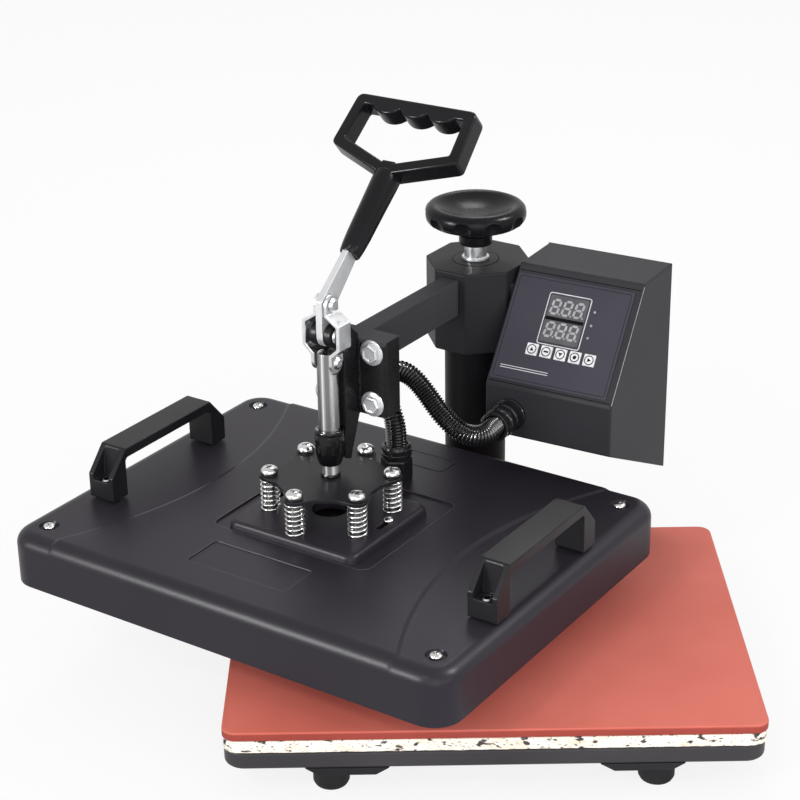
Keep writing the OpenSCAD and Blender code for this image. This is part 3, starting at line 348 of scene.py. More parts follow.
def pan_screw(name, head, rise, shank, length):
    """A cross-recess screw with its head standing on z = 0."""
    screw = turned(name, [(shank, -length), (shank, 0), (head * 0.96, 0), (head, rise * 0.14),
                          (head * 0.98, rise * 0.42), (head * 0.88, rise * 0.70), (head * 0.66, rise * 0.91),
                          (head * 0.25, rise)], 40, unit=1)
    for wide, deep in ((head * 1.10, head * 0.26), (head * 0.26, head * 1.10)):
        slot = block("recess", (wide, deep, rise), (0, 0, rise * 0.98))
        choose(slot, "FACE", lambda f: f.normal.z < -0.99)
        bpy.ops.transform.resize(value=(0.6, 0.6, 1), center_override=(0, 0, rise * 0.48))
        cut(screw, slot)
    smooth(screw, 35)
    return screw


def flange_bolt(name):
    """A hexagon head with its round flange, standing on z = 0."""
    flange = turned("flange", [(4, -8), (4, 0), (9.5, 0), (9.8, 0.5), (9.7, 1.2), (8.4, 2), (3, 2.3)], 48)
    smooth(flange, 35)
    head = turned("head", [(7.5, 1.4), (7.6, 4), (6.6, 4.9), (5.4, 4.9), (4.8, 4.3), (1.5, 4.2)], 6)
    ease_edges(head, 0.0003, 2, 20)
    smooth_flats(head, 25)
    return merge([flange, head], name)


# Finishes


def start_finish(name):
    finish = bpy.data.materials.new(name)
    finish.use_nodes = True
    tree = finish.node_tree
    shader = tree.nodes["Principled BSDF"]
    return finish, tree, shader


def add(tree, kind, **settings):
    node = tree.nodes.new(kind)
    for key, value in settings.items():
        if key in node.inputs:
            node.inputs[key].default_value = value
        else:
            setattr(node, key, value)
    return node


def speckle(tree, where, scale, detail, rough=0.55):
    node = add(tree, "ShaderNodeTexNoise", Scale=scale, Detail=detail, Roughness=rough)
    tree.links.new(where, node.inputs["Vector"])
    return node.outputs["Fac"]


def shades(tree, source, stops):
    """Turns a grey pattern into colours: stops are (place, colour)."""
    ramp = tree.nodes.new("ShaderNodeValToRGB")
    while len(ramp.color_ramp.elements) < len(stops):
        ramp.color_ramp.elements.new(0.5)
    for element, (place, colour) in zip(ramp.color_ramp.elements, stops):
        element.position = place
        element.color = (*colour, 1)
    tree.links.new(source, ramp.inputs["Fac"])
    return ramp.outputs["Color"]


def ranged(tree, source, low, high, begin=0.3, end=0.7):
    """Stretches a pattern from begin..end to low..high."""
    node = add(tree, "ShaderNodeMapRange", **{"From Min": begin, "From Max": end, "To Min": low, "To Max": high})
    tree.links.new(source, node.inputs["Value"])
    return node.outputs["Result"]


def mixed(tree, share, first, second):
    """Lays the second colour over the first by a pattern."""
    mix = add(tree, "ShaderNodeMix", data_type="RGBA")
    tree.links.new(share, mix.inputs["Factor"])
    for socket, colour in ((mix.inputs[6], first), (mix.inputs[7], second)):
        if isinstance(colour, tuple):
            socket.default_value = (*colour, 1)
        else:
            tree.links.new(colour, socket)
    return mix.outputs[2]


def bumped(tree, shader, source, height, strength=1.0):
    node = add(tree, "ShaderNodeBump", Strength=strength, Distance=height)
    tree.links.new(source, node.inputs["Height"])
    tree.links.new(node.outputs["Normal"], shader.inputs["Normal"])


def object_place(tree, stretch=(1, 1, 1), start=(0, 0, 0)):
    where = tree.nodes.new("ShaderNodeTexCoord")
    lay = add(tree, "ShaderNodeMapping", Scale=stretch, Location=start)
    tree.links.new(where.outputs["Object"], lay.inputs["Vector"])
    return lay.outputs["Vector"]


def give_look(tree, shader, colour, grain, gloss, specular=0.5, metal=0.0):
    """Gives a finish its colour, a gloss that follows the grain, its shine and its share of metal."""
    tree.links.new(colour, shader.inputs["Base Color"])
    tree.links.new(ranged(tree, grain, *gloss), shader.inputs["Roughness"])
    shader.inputs["Specular IOR Level"].default_value = specular
    shader.inputs["Metallic"].default_value = metal


def coating(name, dark, light, gloss, grain, height, patch, specular=0.5, metal=0.0, stretch=(1, 1, 1)):
    """A painted, moulded or plated finish: slow colour drift, fine grain in the gloss, a little texture."""
    finish, tree, shader = start_finish(name)
    where = object_place(tree, stretch)
    drift = speckle(tree, where, patch, 2.0)
    fine = speckle(tree, where, grain, 3.0, 0.6)
    colour = shades(tree, drift, [(0.3, dark), (0.7, light)])
    give_look(tree, shader, colour, fine, gloss, specular, metal)
    bumped(tree, shader, fine, height)
    return finish


def foam_finish():
    """Cream foam board pressed from scraps: flat dark chips, fine specks and warmer lumps."""
    finish, tree, shader = start_finish("foam_finish")
    where = object_place(tree, (1, 1, 1.9))
    broad = speckle(tree, where, 70, 2)
    chips = speckle(tree, where, 105, 2.5, 0.6)
    dust = speckle(tree, where, 420, 2, 0.6)
    colour = shades(tree, broad, [(0.30, (0.84, 0.73, 0.59)), (0.42, (0.95, 0.87, 0.76)), (0.7, (0.98, 0.92, 0.83))])
    for pattern, begin, end, dark in [
            (dust, 0.62, 0.66, (0.22, 0.18, 0.16)), (chips, 0.575, 0.61, (0.36, 0.31, 0.27)),
            (chips, 0.605, 0.635, (0.07, 0.065, 0.065))]:
        mask = shades(tree, pattern, [(begin, (0, 0, 0)), (end, (1, 1, 1))])
        colour = mixed(tree, mask, colour, dark)
    give_look(tree, shader, colour, chips, (0.8, 0.95), 0.1)
    bumped(tree, shader, chips, 0.0006, 0.6)
    return finish


def silicone_finish():
    """Red silicone sheet: an even face, and sides below the top coloured darker red as painted shade."""
    finish, tree, shader = start_finish("silicone_finish")
    where = object_place(tree)
    drift = speckle(tree, where, 10, 2)
    fine = speckle(tree, where, 1500, 3, 0.6)
    face = shades(tree, drift, [(0.3, (0.680, 0.158, 0.114)), (0.7, (0.755, 0.190, 0.144))])
    # Painted shade: the darker red given to the sheet's sides, below its top face, by height.
    edge = shades(tree, drift, [(0.3, (0.310, 0.052, 0.038)), (0.7, (0.360, 0.064, 0.048))])
    split = tree.nodes.new("ShaderNodeSeparateXYZ")
    tree.links.new(where, split.inputs["Vector"])
    rise = ranged(tree, split.outputs["Z"], 0, 1, 0.0522, 0.0538)
    give_look(tree, shader, mixed(tree, rise, edge, face), fine, (0.52, 0.70), 0.16)
    bumped(tree, shader, fine, 0.00014)
    return finish


def rod_finish(name, metal):
    """Ground and chromed rod, with painted reflection: bright and dark bands along its length stand in for the
    surroundings it mirrors.
    """
    finish, tree, shader = start_finish(name)
    axis = ROD.to_translation()
    round_rod = add(tree, "ShaderNodeTexGradient", gradient_type="RADIAL")
    tree.links.new(object_place(tree, start=(-axis.x, -axis.y, 0)), round_rod.inputs["Vector"])
    painted_reflection_greys = [(0.0, 0.22), (0.115, 0.20), (0.150, 0.34), (0.169, 0.84), (0.188, 0.46), (0.215, 0.21), (0.262, 0.20),
             (0.285, 0.52), (0.303, 0.84), (0.326, 0.74), (0.360, 0.40), (0.430, 0.24), (0.520, 0.34), (0.600, 0.22),
             (0.680, 0.80), (0.740, 0.26), (0.850, 0.22), (0.900, 0.72), (1.0, 0.22)]
    painted_reflection_streaks = shades(tree, round_rod.outputs["Fac"], [(at, (1.02 * g, 1.02 * g, 1.03 * g)) for at, g in painted_reflection_greys])
    fine = speckle(tree, object_place(tree, (1, 1, 0.05)), 900, 2)
    give_look(tree, shader, painted_reflection_streaks, fine, (0.24, 0.34), metal=metal)
    return finish


# Each coating: dark and light colour, gloss from and to, grain, height of the grain, colour patches, then the shine
# and the share of metal where they aren't 0.5 and 0, and a stretch along one way.
COATINGS = {
    "cover_paint": ((0.0190, 0.0158, 0.0225), (0.0260, 0.0220, 0.0305), (0.32, 0.42), 1500, 0.00006, 4.0, 0.151),
    "frame_paint": ((0.016, 0.0155, 0.018), (0.026, 0.025, 0.029), (0.38, 0.52), 1100, 0.00007, 7.0, 0.101),
    # Post paint: a darker copy of the frame's black paint, painted shade on the post.
    "post_paint_painted_shade": ((0.006, 0.0058, 0.007), (0.010, 0.0096, 0.0115), (0.38, 0.52), 1100, 0.00007, 7.0, 0.07),
    # Arm paint: a lighter copy of the frame's black paint, painted light on the arm and the bracket cap.
    "arm_paint_painted_light": ((0.050, 0.050, 0.055), (0.064, 0.064, 0.070), (0.50, 0.62), 1100, 0.00006, 7.0, 0.0432),
    "bracket_paint": ((0.007, 0.007, 0.008), (0.012, 0.012, 0.013), (0.24, 0.40), 420, 0.0003, 40, 0.158),
    "enamel": ((0.0035, 0.0033, 0.004), (0.007, 0.0065, 0.0075), (0.07, 0.14), 240, 0.0005, 30, 0.259),
    "enamel_plate": ((0.010, 0.0095, 0.012), (0.017, 0.016, 0.019), (0.30, 0.42), 700, 0.00008, 12, 0.13),
    "gland_plastic": ((0.008, 0.008, 0.009), (0.014, 0.014, 0.016), (0.12, 0.22), 700, 0.00003, 30, 0.36),
    "box_paint": ((0.028, 0.0275, 0.032), (0.037, 0.036, 0.042), (0.44, 0.54), 1600, 0.00006, 6.0, 0.101),
    "zinc": ((0.50, 0.505, 0.515), (0.64, 0.645, 0.655), (0.26, 0.40), 500, 0.00006, 60, 0.5, 1.0),
    "dull_zinc": ((0.53, 0.535, 0.55), (0.64, 0.645, 0.66), (0.30, 0.42), 500, 0.00004, 40, 0.5, 0.55),
    "nickel": ((0.50, 0.496, 0.492), (0.63, 0.626, 0.62), (0.15, 0.26), 600, 0.00002, 80, 0.5, 1.0),
    "foot_rubber": ((0.012, 0.012, 0.013), (0.022, 0.022, 0.024), (0.55, 0.75), 900, 0.0001, 40, 0.144),
    # Bed paint: a lighter copy of the frame's black paint, painted light on the bed plate.
    "bed_paint_painted_light": ((0.038, 0.036, 0.040), (0.054, 0.051, 0.056), (0.34, 0.46), 1100, 0.00006, 9.0, 0.144),
    # Rim highlight: a lighter grey for the thin lines round the tray and the label bed, painted highlight.
    "rim_painted_highlight": ((0.046, 0.042, 0.050), (0.085, 0.080, 0.092), (0.35, 0.50), 900, 0.00003, 60, 0.144),
    "bronze": ((0.42, 0.27, 0.12), (0.56, 0.37, 0.17), (0.25, 0.4), 400, 0.00003, 40, 0.5, 1.0),
    "hot_metal": ((0.30, 0.30, 0.31), (0.42, 0.42, 0.42), (0.28, 0.42), 300, 0.00003, 20, 0.5, 1.0, (1, 8, 1)),
    "element": ((0.12, 0.10, 0.09), (0.22, 0.19, 0.17), (0.4, 0.6), 300, 0.00005, 40, 0.5, 1.0),
    "wool": ((0.55, 0.52, 0.44), (0.75, 0.72, 0.63), (0.9, 1.0), 700, 0.0006, 60, 0.072),
    "bakelite": ((0.0065, 0.006, 0.007), (0.011, 0.010, 0.012), (0.19, 0.27), 900, 0.00003, 12, 0.137),
    "knob_bakelite": ((0.0065, 0.006, 0.007), (0.011, 0.010, 0.012), (0.22, 0.30), 900, 0.00003, 12, 0.095),
    "moulded": ((0.010, 0.0097, 0.0115), (0.016, 0.0155, 0.018), (0.27, 0.38), 1400, 0.00006, 25, 0.144),
    "hose_plastic": ((0.006, 0.006, 0.007), (0.011, 0.011, 0.012), (0.07, 0.12), 700, 0.00002, 30, 1.0),
    "overlay": ((0.053, 0.051, 0.067), (0.062, 0.060, 0.078), (0.40, 0.50), 2200, 0.00003, 14, 0.072),
    "window": ((0.095, 0.092, 0.100), (0.125, 0.122, 0.130), (0.26, 0.38), 1200, 0.00003, 70, 0.144),
    "board": ((0.02, 0.10, 0.04), (0.03, 0.15, 0.06), (0.35, 0.5), 300, 0.00005, 90),
    "key_white": ((0.76, 0.76, 0.78), (0.86, 0.86, 0.87), (0.38, 0.5), 1500, 0.00003, 120, 0.144),
    "print_white": ((0.62, 0.62, 0.65), (0.76, 0.76, 0.79), (0.5, 0.6), 2200, 0.00001, 160, 0.072),
    "print_grey": ((0.30, 0.30, 0.33), (0.42, 0.42, 0.45), (0.5, 0.6), 2200, 0.00001, 160, 0.072),
    "print_black": ((0.006, 0.0055, 0.007), (0.010, 0.009, 0.012), (0.6, 0.7), 2200, 0.00001, 160, 0.036),
    "digit_grey": ((0.36, 0.36, 0.38), (0.47, 0.47, 0.49), (0.5, 0.6), 2200, 0.00001, 160, 0.072),
    "rocker_red": ((0.42, 0.02, 0.02), (0.52, 0.03, 0.03), (0.2, 0.3), 900, 0.00003, 60),
}
FINISHES = {}


def make_finishes():
    for name, look in COATINGS.items():
        FINISHES[name] = coating(name, *look)
    # Both finishes carry the same painted reflection bands; the tip's has less metal.
    for name, metal in (("rod_chrome", 1.0), ("tip_plate", 0.25)):
        FINISHES[name] = rod_finish(name, metal)
    FINISHES["silicone"] = silicone_finish()
    FINISHES["foam"] = foam_finish()


# Camera and studio

CAMERA_PLACE = (0.0169, -1.3614, 0.8339)
FOCAL_LENGTH = 91.14
ROOM_LIGHT = 0.70
FLOOR_GLOW = 0.84


def set_camera():
    """The camera as it was fitted to the photo."""
    azimuth, height, roll = radians(-0.07), radians(24.18), radians(-0.84)
    back = Vector((sin(azimuth) * cos(height), -cos(azimuth) * cos(height), sin(height)))
    right = Vector((cos(azimuth), sin(azimuth), 0))
    up = back.cross(right)
    right, up = cos(roll) * right + sin(roll) * up, -sin(roll) * right + cos(roll) * up
    turn = Matrix((right, up, back)).transposed().to_4x4()
    lens = bpy.data.cameras.new("camera")
    lens.lens = FOCAL_LENGTH
    lens.sensor_width = 36
    camera = added("camera", lens)
    camera.matrix_world = Matrix.Translation(CAMERA_PLACE) @ turn
    bpy.context.scene.camera = camera


def set_lamp(name, place, aim, power, size, sheen_only=False):
    """A round lamp. A sheen-only lamp lights no matt surface and only shows as a gleam."""
    lamp = bpy.data.lights.new(name, "AREA")
    lamp.shape = "DISK"
    lamp.energy = power
    lamp.size = size
    holder = added(name, lamp)
    holder.location = place
    holder.rotation_euler = (Vector(aim) - Vector(place)).to_track_quat("-Z", "Y").to_euler()
    holder.visible_diffuse = not sheen_only


def seen_directly(tree):
    """One for rays from the camera, a mirror or glass, nought for light on its way to a surface."""
    path = tree.nodes.new("ShaderNodeLightPath")
    seen = path.outputs["Is Camera Ray"]
    for ray in ("Is Glossy Ray", "Is Transmission Ray"):
        either = add(tree, "ShaderNodeMath", operation="MAXIMUM")
        tree.links.new(seen, either.inputs[0])
        tree.links.new(path.outputs[ray], either.inputs[1])
        seen = either.outputs["Value"]
    return seen


def set_studio():
    """A white room whose light is a little weaker than it looks, six lamps and a white floor."""
    bpy.context.scene.view_settings.view_transform = "Standard"
    world = bpy.data.worlds.new("studio")
    bpy.context.scene.world = world
    world.use_nodes = True
    tree = world.node_tree
    sky = tree.nodes["Background"]
    tree.links.new(ranged(tree, seen_directly(tree), ROOM_LIGHT, 1, 0, 1), sky.inputs["Strength"])
    sky.inputs["Color"].default_value = (1, 1, 1, 1)

    set_lamp("front_lamp", (0.1, -2.1, 0.70), (0, 0, 0.15), 18, 1.6)
    set_lamp("left_lamp", (-1.0, -1.3, 1.6), (0, 0, 0.15), 7.5, 0.34)
    set_lamp("right_lamp", (1.3, -1.5, 0.75), (0, 0, 0.20), 4.5, 0.4)
    set_lamp("back_lamp", (0.2, 1.4, 1.5), (0, 0, 0.2), 4.5, 0.45)
    set_lamp("sheen_lamp", (-1.75, -0.90, 0.75), (0, -0.15, 0.13), 56, 0.6, sheen_only=True)
    set_lamp("rib_lamp", (1.2, 0.0, 1.45), (0, -0.05, 0.2), 34, 0.42, sheen_only=True)

    put_down()
    bpy.ops.mesh.primitive_plane_add(size=9)
    floor = bpy.context.object
    floor.name = "floor"
    finish, tree, shader = start_finish("floor_white")
    grain = speckle(tree, object_place(tree), 3, 2)
    tree.links.new(shades(tree, grain, [(0.3, (0.955, 0.955, 0.955)), (0.7, (0.965, 0.965, 0.965))]),
                   shader.inputs["Base Color"])
    shader.inputs["Roughness"].default_value = 0.9
    shader.inputs["Specular IOR Level"].default_value = 0.0
    white = add(tree, "ShaderNodeEmission", Strength=1.0)
    blend = tree.nodes.new("ShaderNodeMixShader")
    tree.links.new(ranged(tree, seen_directly(tree), 0, FLOOR_GLOW, 0, 1), blend.inputs["Fac"])
    tree.links.new(shader.outputs["BSDF"], blend.inputs[1])
    tree.links.new(white.outputs["Emission"], blend.inputs[2])
    tree.links.new(blend.outputs["Shader"], tree.nodes["Material Output"].inputs["Surface"])
    floor.data.materials.append(finish)


# The ribbed hose between the control box and the platen

HOSE_POINTS = [(5, -124.5, 147), (5, -124.5, 159), (5, -124.5, 171), (2, -124, 184), (-9, -120, 195), (-11, -117, 209),
               (2, -115, 219), (16, -114, 213), (28, -114, 201), (39, -115, 190), (50, -115, 182), (59, -113, 176),
               (66, -107, 173), (70, -98, 172.5), (69.5, -91, 172.5), (68.7, -82, 172.5), (68, -72.4, 172.5)]
HOSE_RADIUS = 0.00825
RIB_DEPTH = 0.0016
RIBS = 84
RIB_STEPS = 6
HOSE_SIDES = 28
SPAN_STEPS = 40


def hose_line(count):
    """The hose's centre line, evenly spaced, from the box to the platen."""
    points = [HEAD @ (Vector(p) * MM) for p in HOSE_POINTS]
    points = [2 * points[0] - points[1]] + points + [2 * points[-1] - points[-2]]
    dense = []
    for i in range(len(points) - 3):
        a, b, c, d = points[i:i + 4]
        for k in range(SPAN_STEPS):
            t = k / SPAN_STEPS
            dense.append(((1 - t) ** 3 * a + (3 * t ** 3 - 6 * t ** 2 + 4) * b
                          + (-3 * t ** 3 + 3 * t ** 2 + 3 * t + 1) * c + t ** 3 * d) / 6)
    dense.append((points[-3] + 4 * points[-2] + points[-1]) / 6)
    dense.reverse()
    run = [0.0]
    for a, b in zip(dense, dense[1:]):
        run.append(run[-1] + (b - a).length)
    line, j = [], 0
    for k in range(count + 1):
        want = run[-1] * k / count
        while j < len(run) - 2 and run[j + 1] < want:
            j += 1
        share = (want - run[j]) / (run[j + 1] - run[j])
        line.append(dense[j].lerp(dense[j + 1], share))
    return line, run[-1]


def make_hose():
    """The ribs swept along the hose's line."""
    count = RIBS * RIB_STEPS
    line, length = hose_line(count)
    aside = Vector((0, 0, 1))
    corners, faces = [], []
    for k, place in enumerate(line):
        along = (line[min(k + 1, count)] - line[max(k - 1, 0)]).normalized()
        aside = (aside - along * aside.dot(along)).normalized()
        across = along.cross(aside)
        wave = (0.5 + 0.5 * cos(2 * pi * k / RIB_STEPS)) ** 0.7
        radius = HOSE_RADIUS - RIB_DEPTH * (1 - wave)
        for s in range(HOSE_SIDES):
            turn = 2 * pi * s / HOSE_SIDES
            corners.append(place + radius * (cos(turn) * aside + sin(turn) * across))
    for k in range(count):
        for s in range(HOSE_SIDES):
            t = (s + 1) % HOSE_SIDES
            a, b = k * HOSE_SIDES, (k + 1) * HOSE_SIDES
            faces.append((a + s, a + t, b + t, b + s))
    faces.append(tuple(reversed(range(HOSE_SIDES))))
    faces.append(tuple(range(count * HOSE_SIDES, (count + 1) * HOSE_SIDES)))
    mesh = bpy.data.meshes.new("ribbed_hose")
    mesh.from_pydata(corners, [], faces)
    mesh.materials.append(FINISHES["hose_plastic"])
    hose = added("ribbed_hose", mesh)
    take_up(hose)
    face_out()
    smooth(hose, 60)
    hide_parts("hose")
    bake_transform(hose)


# The platen

COVER_TOP, COVER_LOW = 0.1295, 0.087
BOSS_TOP = 0.1355
SCREW_X, SCREW_Y = 0.17275, 0.1291
STOP_X = 0.0468
SPRING_RING = 0.046
ROD_HOLE = shift(-0.002, -0.0050, 0)

# The crease: half the width it leaves at the ends and in the middle, half its slope, its depth, where it starts to
# press, and how far the flat of the cover reaches.
CREASE, CREASE_WAIST = 0.151, 0.114
SLOPE = 0.0024
CREASE_DROP = 0.0014
PRESS_FROM = 0.116
SIDE_FLAT, END_FLAT = 0.1835, 0.1425


def crease_at(y):
    """Half the width of the cover's raised middle, which is narrowest half way back."""
    return CREASE_WAIST + (CREASE - CREASE_WAIST) * min(abs(y) / END_FLAT, 1) ** 2


def press_crease(cover):
    """Presses the sides of the cover down a little along a bowed line."""
    mesh = bmesh.from_edit_mesh(cover.data)
    for v in mesh.verts:
        x, y, z = v.co
        column, side = abs(x), (1 if x > 0 else -1)
        if z < PRESS_FROM:
            continue
        if z > COVER_TOP - 1e-5 and column < SIDE_FLAT - 1e-5:
            line = crease_at(y)
            if column < CREASE - SLOPE - 1e-4:
                moved = column * (line - SLOPE) / (CREASE - SLOPE)
            elif column < CREASE + SLOPE + 1e-4:
                moved = line + column - CREASE
            else:
                room = (SIDE_FLAT - line - SLOPE) / (SIDE_FLAT - CREASE - SLOPE)
                moved = line + SLOPE + (column - CREASE - SLOPE) * room
            v.co.x = side * moved
        step = min(max((column - CREASE + SLOPE) / (2 * SLOPE), 0), 1)
        share = min((z - PRESS_FROM) / (COVER_TOP - PRESS_FROM), 1)
        v.co.z -= CREASE_DROP * step * step * (3 - 2 * step) * share
    bmesh.update_edit_mesh(cover.data)


def make_cover():
    """The pressed cover with its crease, screw dimples, label bed and tray, and light lines on the rims of these as
    painted highlight.
    """
    top, low = COVER_TOP, COVER_LOW
    cover = slab("platen_cover_dressed", (0.391, 0.309, top - low), (0, 0, (top + low) / 2), 0.022, 12)
    ease_rim(cover, top, 0.0120, 10)
    columns = [0.02 * k for k in range(1, 7)] + [0.135, 0.1486, 0.1498, 0.151, 0.1522, 0.1534, 0.161, 0.170]
    for x in sorted(columns + [-x for x in columns]):
        select_all()
        bpy.ops.mesh.bisect(plane_co=(x, 0, 0), plane_no=(1, 0, 0))
    for k in range(-11, 12):
        select_all()
        bpy.ops.mesh.bisect(plane_co=(0, 0.012 * k, 0), plane_no=(0, 1, 0))
    press_crease(cover)
    put_down()
    for x in (-1, 1):
        for y in (-1, 1):
            dimple = turned("dimple", [(0.0064, top - 0.0037), (0.0070, top - 0.003), (0.0078, top - 0.0014),
                                       (0.0090, top + 0.003)], 40, unit=1)
            cut(cover, carry(dimple, shift(x * SCREW_X, y * SCREW_Y, 0)))
    cut(cover, stepped("label_bed", (0.0876, 0.0346), (-0.006, -0.100), 0.003,
                       [(0, top - 0.0008), (0.0004, top - 0.0003), (0.0012, top + 0.0002), (0.0012, top + 0.004)], 5))
    cut(cover, stepped("boss_tray", (0.1395, 0.1235), (0, -0.001), 0.008,
                       [(0, top - 0.0014), (0.0007, top - 0.0005), (0.0017, top), (0.0020, top + 0.004)]))
    take_up(cover)
    choose(cover, "FACE", lambda f: f.normal.z < -0.99 and abs(f.calc_center_median().z - low) < 0.002)
    bpy.ops.mesh.delete(type="FACE")
    modify(cover, "SOLIDIFY", thickness=0.002, offset=-1)
    smooth_flats(cover, 28)
    settle(cover, PLATEN, "platen", "cover_paint", "platen_cover")

    # Thin raised lines round the tray and the label bed, in a lighter grey that is painted highlight on their rims.
    lines = [frame_line("tray_edge", -70.7, -63.7, 70.7, 61.7, 8.6, 0.8, 129.2, 129.60),
             frame_line("label_edge", -50.5, -117.9, 38.5, -82.1, 3.4, 0.6, 129.2, 129.56)]
    for line in lines:
        ease_edges(line, 0.00014, 2, 30)
        smooth(line, 40)
    settle(merge(lines, "pressed_edges"), PLATEN, "platen", "rim_painted_highlight", slot="black_paint")

    patch = frame_line("raised_patch", -14, 101, 30, 124, 5, 1.1, 129.3, 129.85)
    ease_edges(patch, 0.0002, 2, 30)
    smooth(patch, 40)
    settle(patch, PLATEN, "platen", "cover_paint", slot="black_paint")


def make_boss():
    """The raised seat of the springs in its shallow tray, with the rod's hole and two slotted stop screws."""
    top = BOSS_TOP
    boss = stepped("spring_boss", (0.116, 0.103), (0.0005, -0.0105), 0.008,
                   [(0, 0.1280), (-0.0014, 0.1320), (-0.0020, 0.1332), (-0.0032, 0.1343), (-0.0050, 0.1351),
                    (-0.0072, 0.1354), (-0.0096, top)])
    hole = turned("rod_hole", [(0.0138, 0.1280), (0.0138, top - 0.0007), (0.0145, top), (0.0150, top + 0.005)], 48,
                  unit=1)
    cut(boss, carry(hole, ROD_HOLE))
    for side in (-1, 1):
        cut(boss, stepped("stop_slot", (0.0048, 0.018), (side * STOP_X, -0.0045), 0.0023,
                          [(0, top - 0.0045), (0, top - 0.0004), (0.0008, top), (0.0010, top + 0.003)], 5))
    smooth_flats(boss, 40)
    settle(boss, PLATEN, "platen", "cover_paint", slot="black_paint")

    # A black disc on the floor of the rod's hole: painted shade in the hole.
    shade = turned("painted_shade_hole_floor", [(13.7, 127.8), (13.7, 128.4), (1, 128.4)], 48)
    settle(shade, PLATEN @ ROD_HOLE, "platen", "print_black", slot="black_paint")
    stops = set_out(pan_screw("stop_screw", 0.0038, 0.0024, 0.002, 0.004), "stop_screws",
                    [shift(side * STOP_X, 0.0016, top) for side in (-1, 1)])
    settle(stops, PLATEN, "platen", "nickel", slot="zinc")


def spring_places(z):
    """The places of the six springs round the rod."""
    turns = [radians(30 + 60 * k) for k in range(6)]
    return [shift(SPRING_RING * cos(turn), SPRING_RING * sin(turn), z) for turn in turns]


def make_screws():
    """Spring screws, cover screws and the flange bolts of the bracket, each turned its own way."""
    ring = set_out(pan_screw("spring_screw", 0.0067, 0.0052, 0.0036, 0.034), "spring_screws_dressed",
                   [place @ spin(0.5 * k, "Z") for k, place in enumerate(spring_places(0.1652))])
    settle(ring, ROD, "platen", "nickel", "spring_screws")

    corners = set_out(pan_screw("cover_screw", 0.0047, 0.0032, 0.0024, 0.006), "cover_screws_dressed",
                      [shift(x * SCREW_X, y * SCREW_Y, 0.1263) @ spin(0.3 + x + 0.4 * y, "Z")
                       for x in (-1, 1) for y in (-1, 1)])
    settle(corners, PLATEN, "platen", "nickel", "cover_screws")

    seats = ((-0.021, 0.217, 0.2), (0.021, 0.217, 0.45), (-0.021, 0.258, 0.7), (0.021, 0.258, 0.1))
    bolts = set_out(flange_bolt("bracket_bolt"), "bracket_bolts_dressed",
                    [shift(x, -0.178, z) @ spin(radians(90), "X") @ spin(turn, "Z") for x, z, turn in seats])
    settle(bolts, HEAD, "head", "dull_zinc", "bracket_bolts")


def make_plunger():
    """The chromed rod with its flats, the scalloped spring plate and the guide bush."""
    rod = turned("plunger_rod_dressed", [
        (6, 175.8), (7.7, 176), (8, 176.3), (8, 244), (8, 246), (8, 263.4), (7.5, 264)], 96)
    for side in (-1, 1):
        arc = turned("flat_end", [(9.5, 6.2), (9.5, 14)], 64)
        cut(rod, carry(arc, shift(0, 0, 0.257) @ spin(side * radians(90), "Y")))
        cut(rod, block("flat", (0.0080, 0.019, 0.016), (side * 0.0102, 0, 0.265)))
    smooth(rod, 30)
    settle(rod, ROD, "plunger", "rod_chrome", "plunger_rod")

    tip = turned("rod_tip", [(5.8, 161.2), (6.2, 161.6), (6.2, 175.8), (5.8, 176.1)], 64)
    smooth(tip, 30)
    settle(tip, ROD, "plunger", "tip_plate", slot="rod_chrome")
    collar = turned("tip_collar", [(7.2, 163.6), (7.4, 164.2), (7.4, 166), (7, 166.6), (6.1, 166.7)], 64)
    smooth(collar, 40)
    settle(collar, ROD, "plunger", "enamel", slot="black_paint")

    outline, corners = [], 240
    for k in range(corners):
        turn = 2 * pi * k / corners
        lobe = ((1 + cos(6 * turn - pi)) / 2) ** 2
        reach = 41.5 + 12.3 * lobe
        outline.append((reach * cos(turn), reach * sin(turn)))
    plate = flat("spring_plate_dressed", outline, 161.2, 164.0)
    ease_rim(plate, 0.1640, 0.0006, 3)
    smooth_flats(plate, 30)
    settle(plate, ROD, "plunger", "enamel_plate", "spring_plate")

    bush = turned("guide_bush_dressed", [
        (7.6, 175), (8, 174.5), (8.5, 174.9), (9.4, 177.4), (10.3, 180.8), (10.9, 184.8), (11.2, 189.5),
        (11.2, 195), (10.9, 198.3), (10.7, 199.3), (10.8, 200.3), (10.9, 201.2), (10.7, 202.1), (10.1, 202.7),
        (8.4, 202.4)], 64)
    cut(bush, turned("bush_bore", [(8.15, 172), (8.15, 205)], 64))
    smooth(bush, 45)
    settle(bush, ROD, "head", "enamel", "guide_bush")


def make_springs():
    """Six coil springs: one is wound, the others are copies."""
    low, high, wire = 0.1357, 0.1611, 0.00082
    mean, curls, steps = 0.0068, 7.5, 40
    count = int(curls * steps)
    path = bpy.data.curves.new("coil", "CURVE")
    path.dimensions = "3D"
    path.bevel_depth = wire
    path.bevel_resolution = 3
    path.use_fill_caps = True
    spline = path.splines.new("POLY")
    spline.points.add(count)
    for k in range(count + 1):
        turn = k / steps
        share = min(max((turn - 0.7) / (curls - 1.4), 0), 1)
        z = low + wire + (high - low - 2 * wire) * share
        spline.points[k].co = (mean * cos(2 * pi * turn), mean * sin(2 * pi * turn), z, 1)
    coil = added("coil", path)
    hold(coil)
    bpy.ops.object.convert(target="MESH")
    coil = bpy.context.object
    for k, place in enumerate(spring_places(0)):
        spring = copy_of(coil, "spring_%d" % (k + 1), place)
        take_up(spring)
        face_out()
        smooth(spring, 60)
        nodes = ["springs"] if k == 0 else []
        settle(spring, ROD, "plunger", "nickel", *nodes, slot="zinc")
        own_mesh(spring)
    bpy.data.objects.remove(coil, do_unlink=True)


# The bed


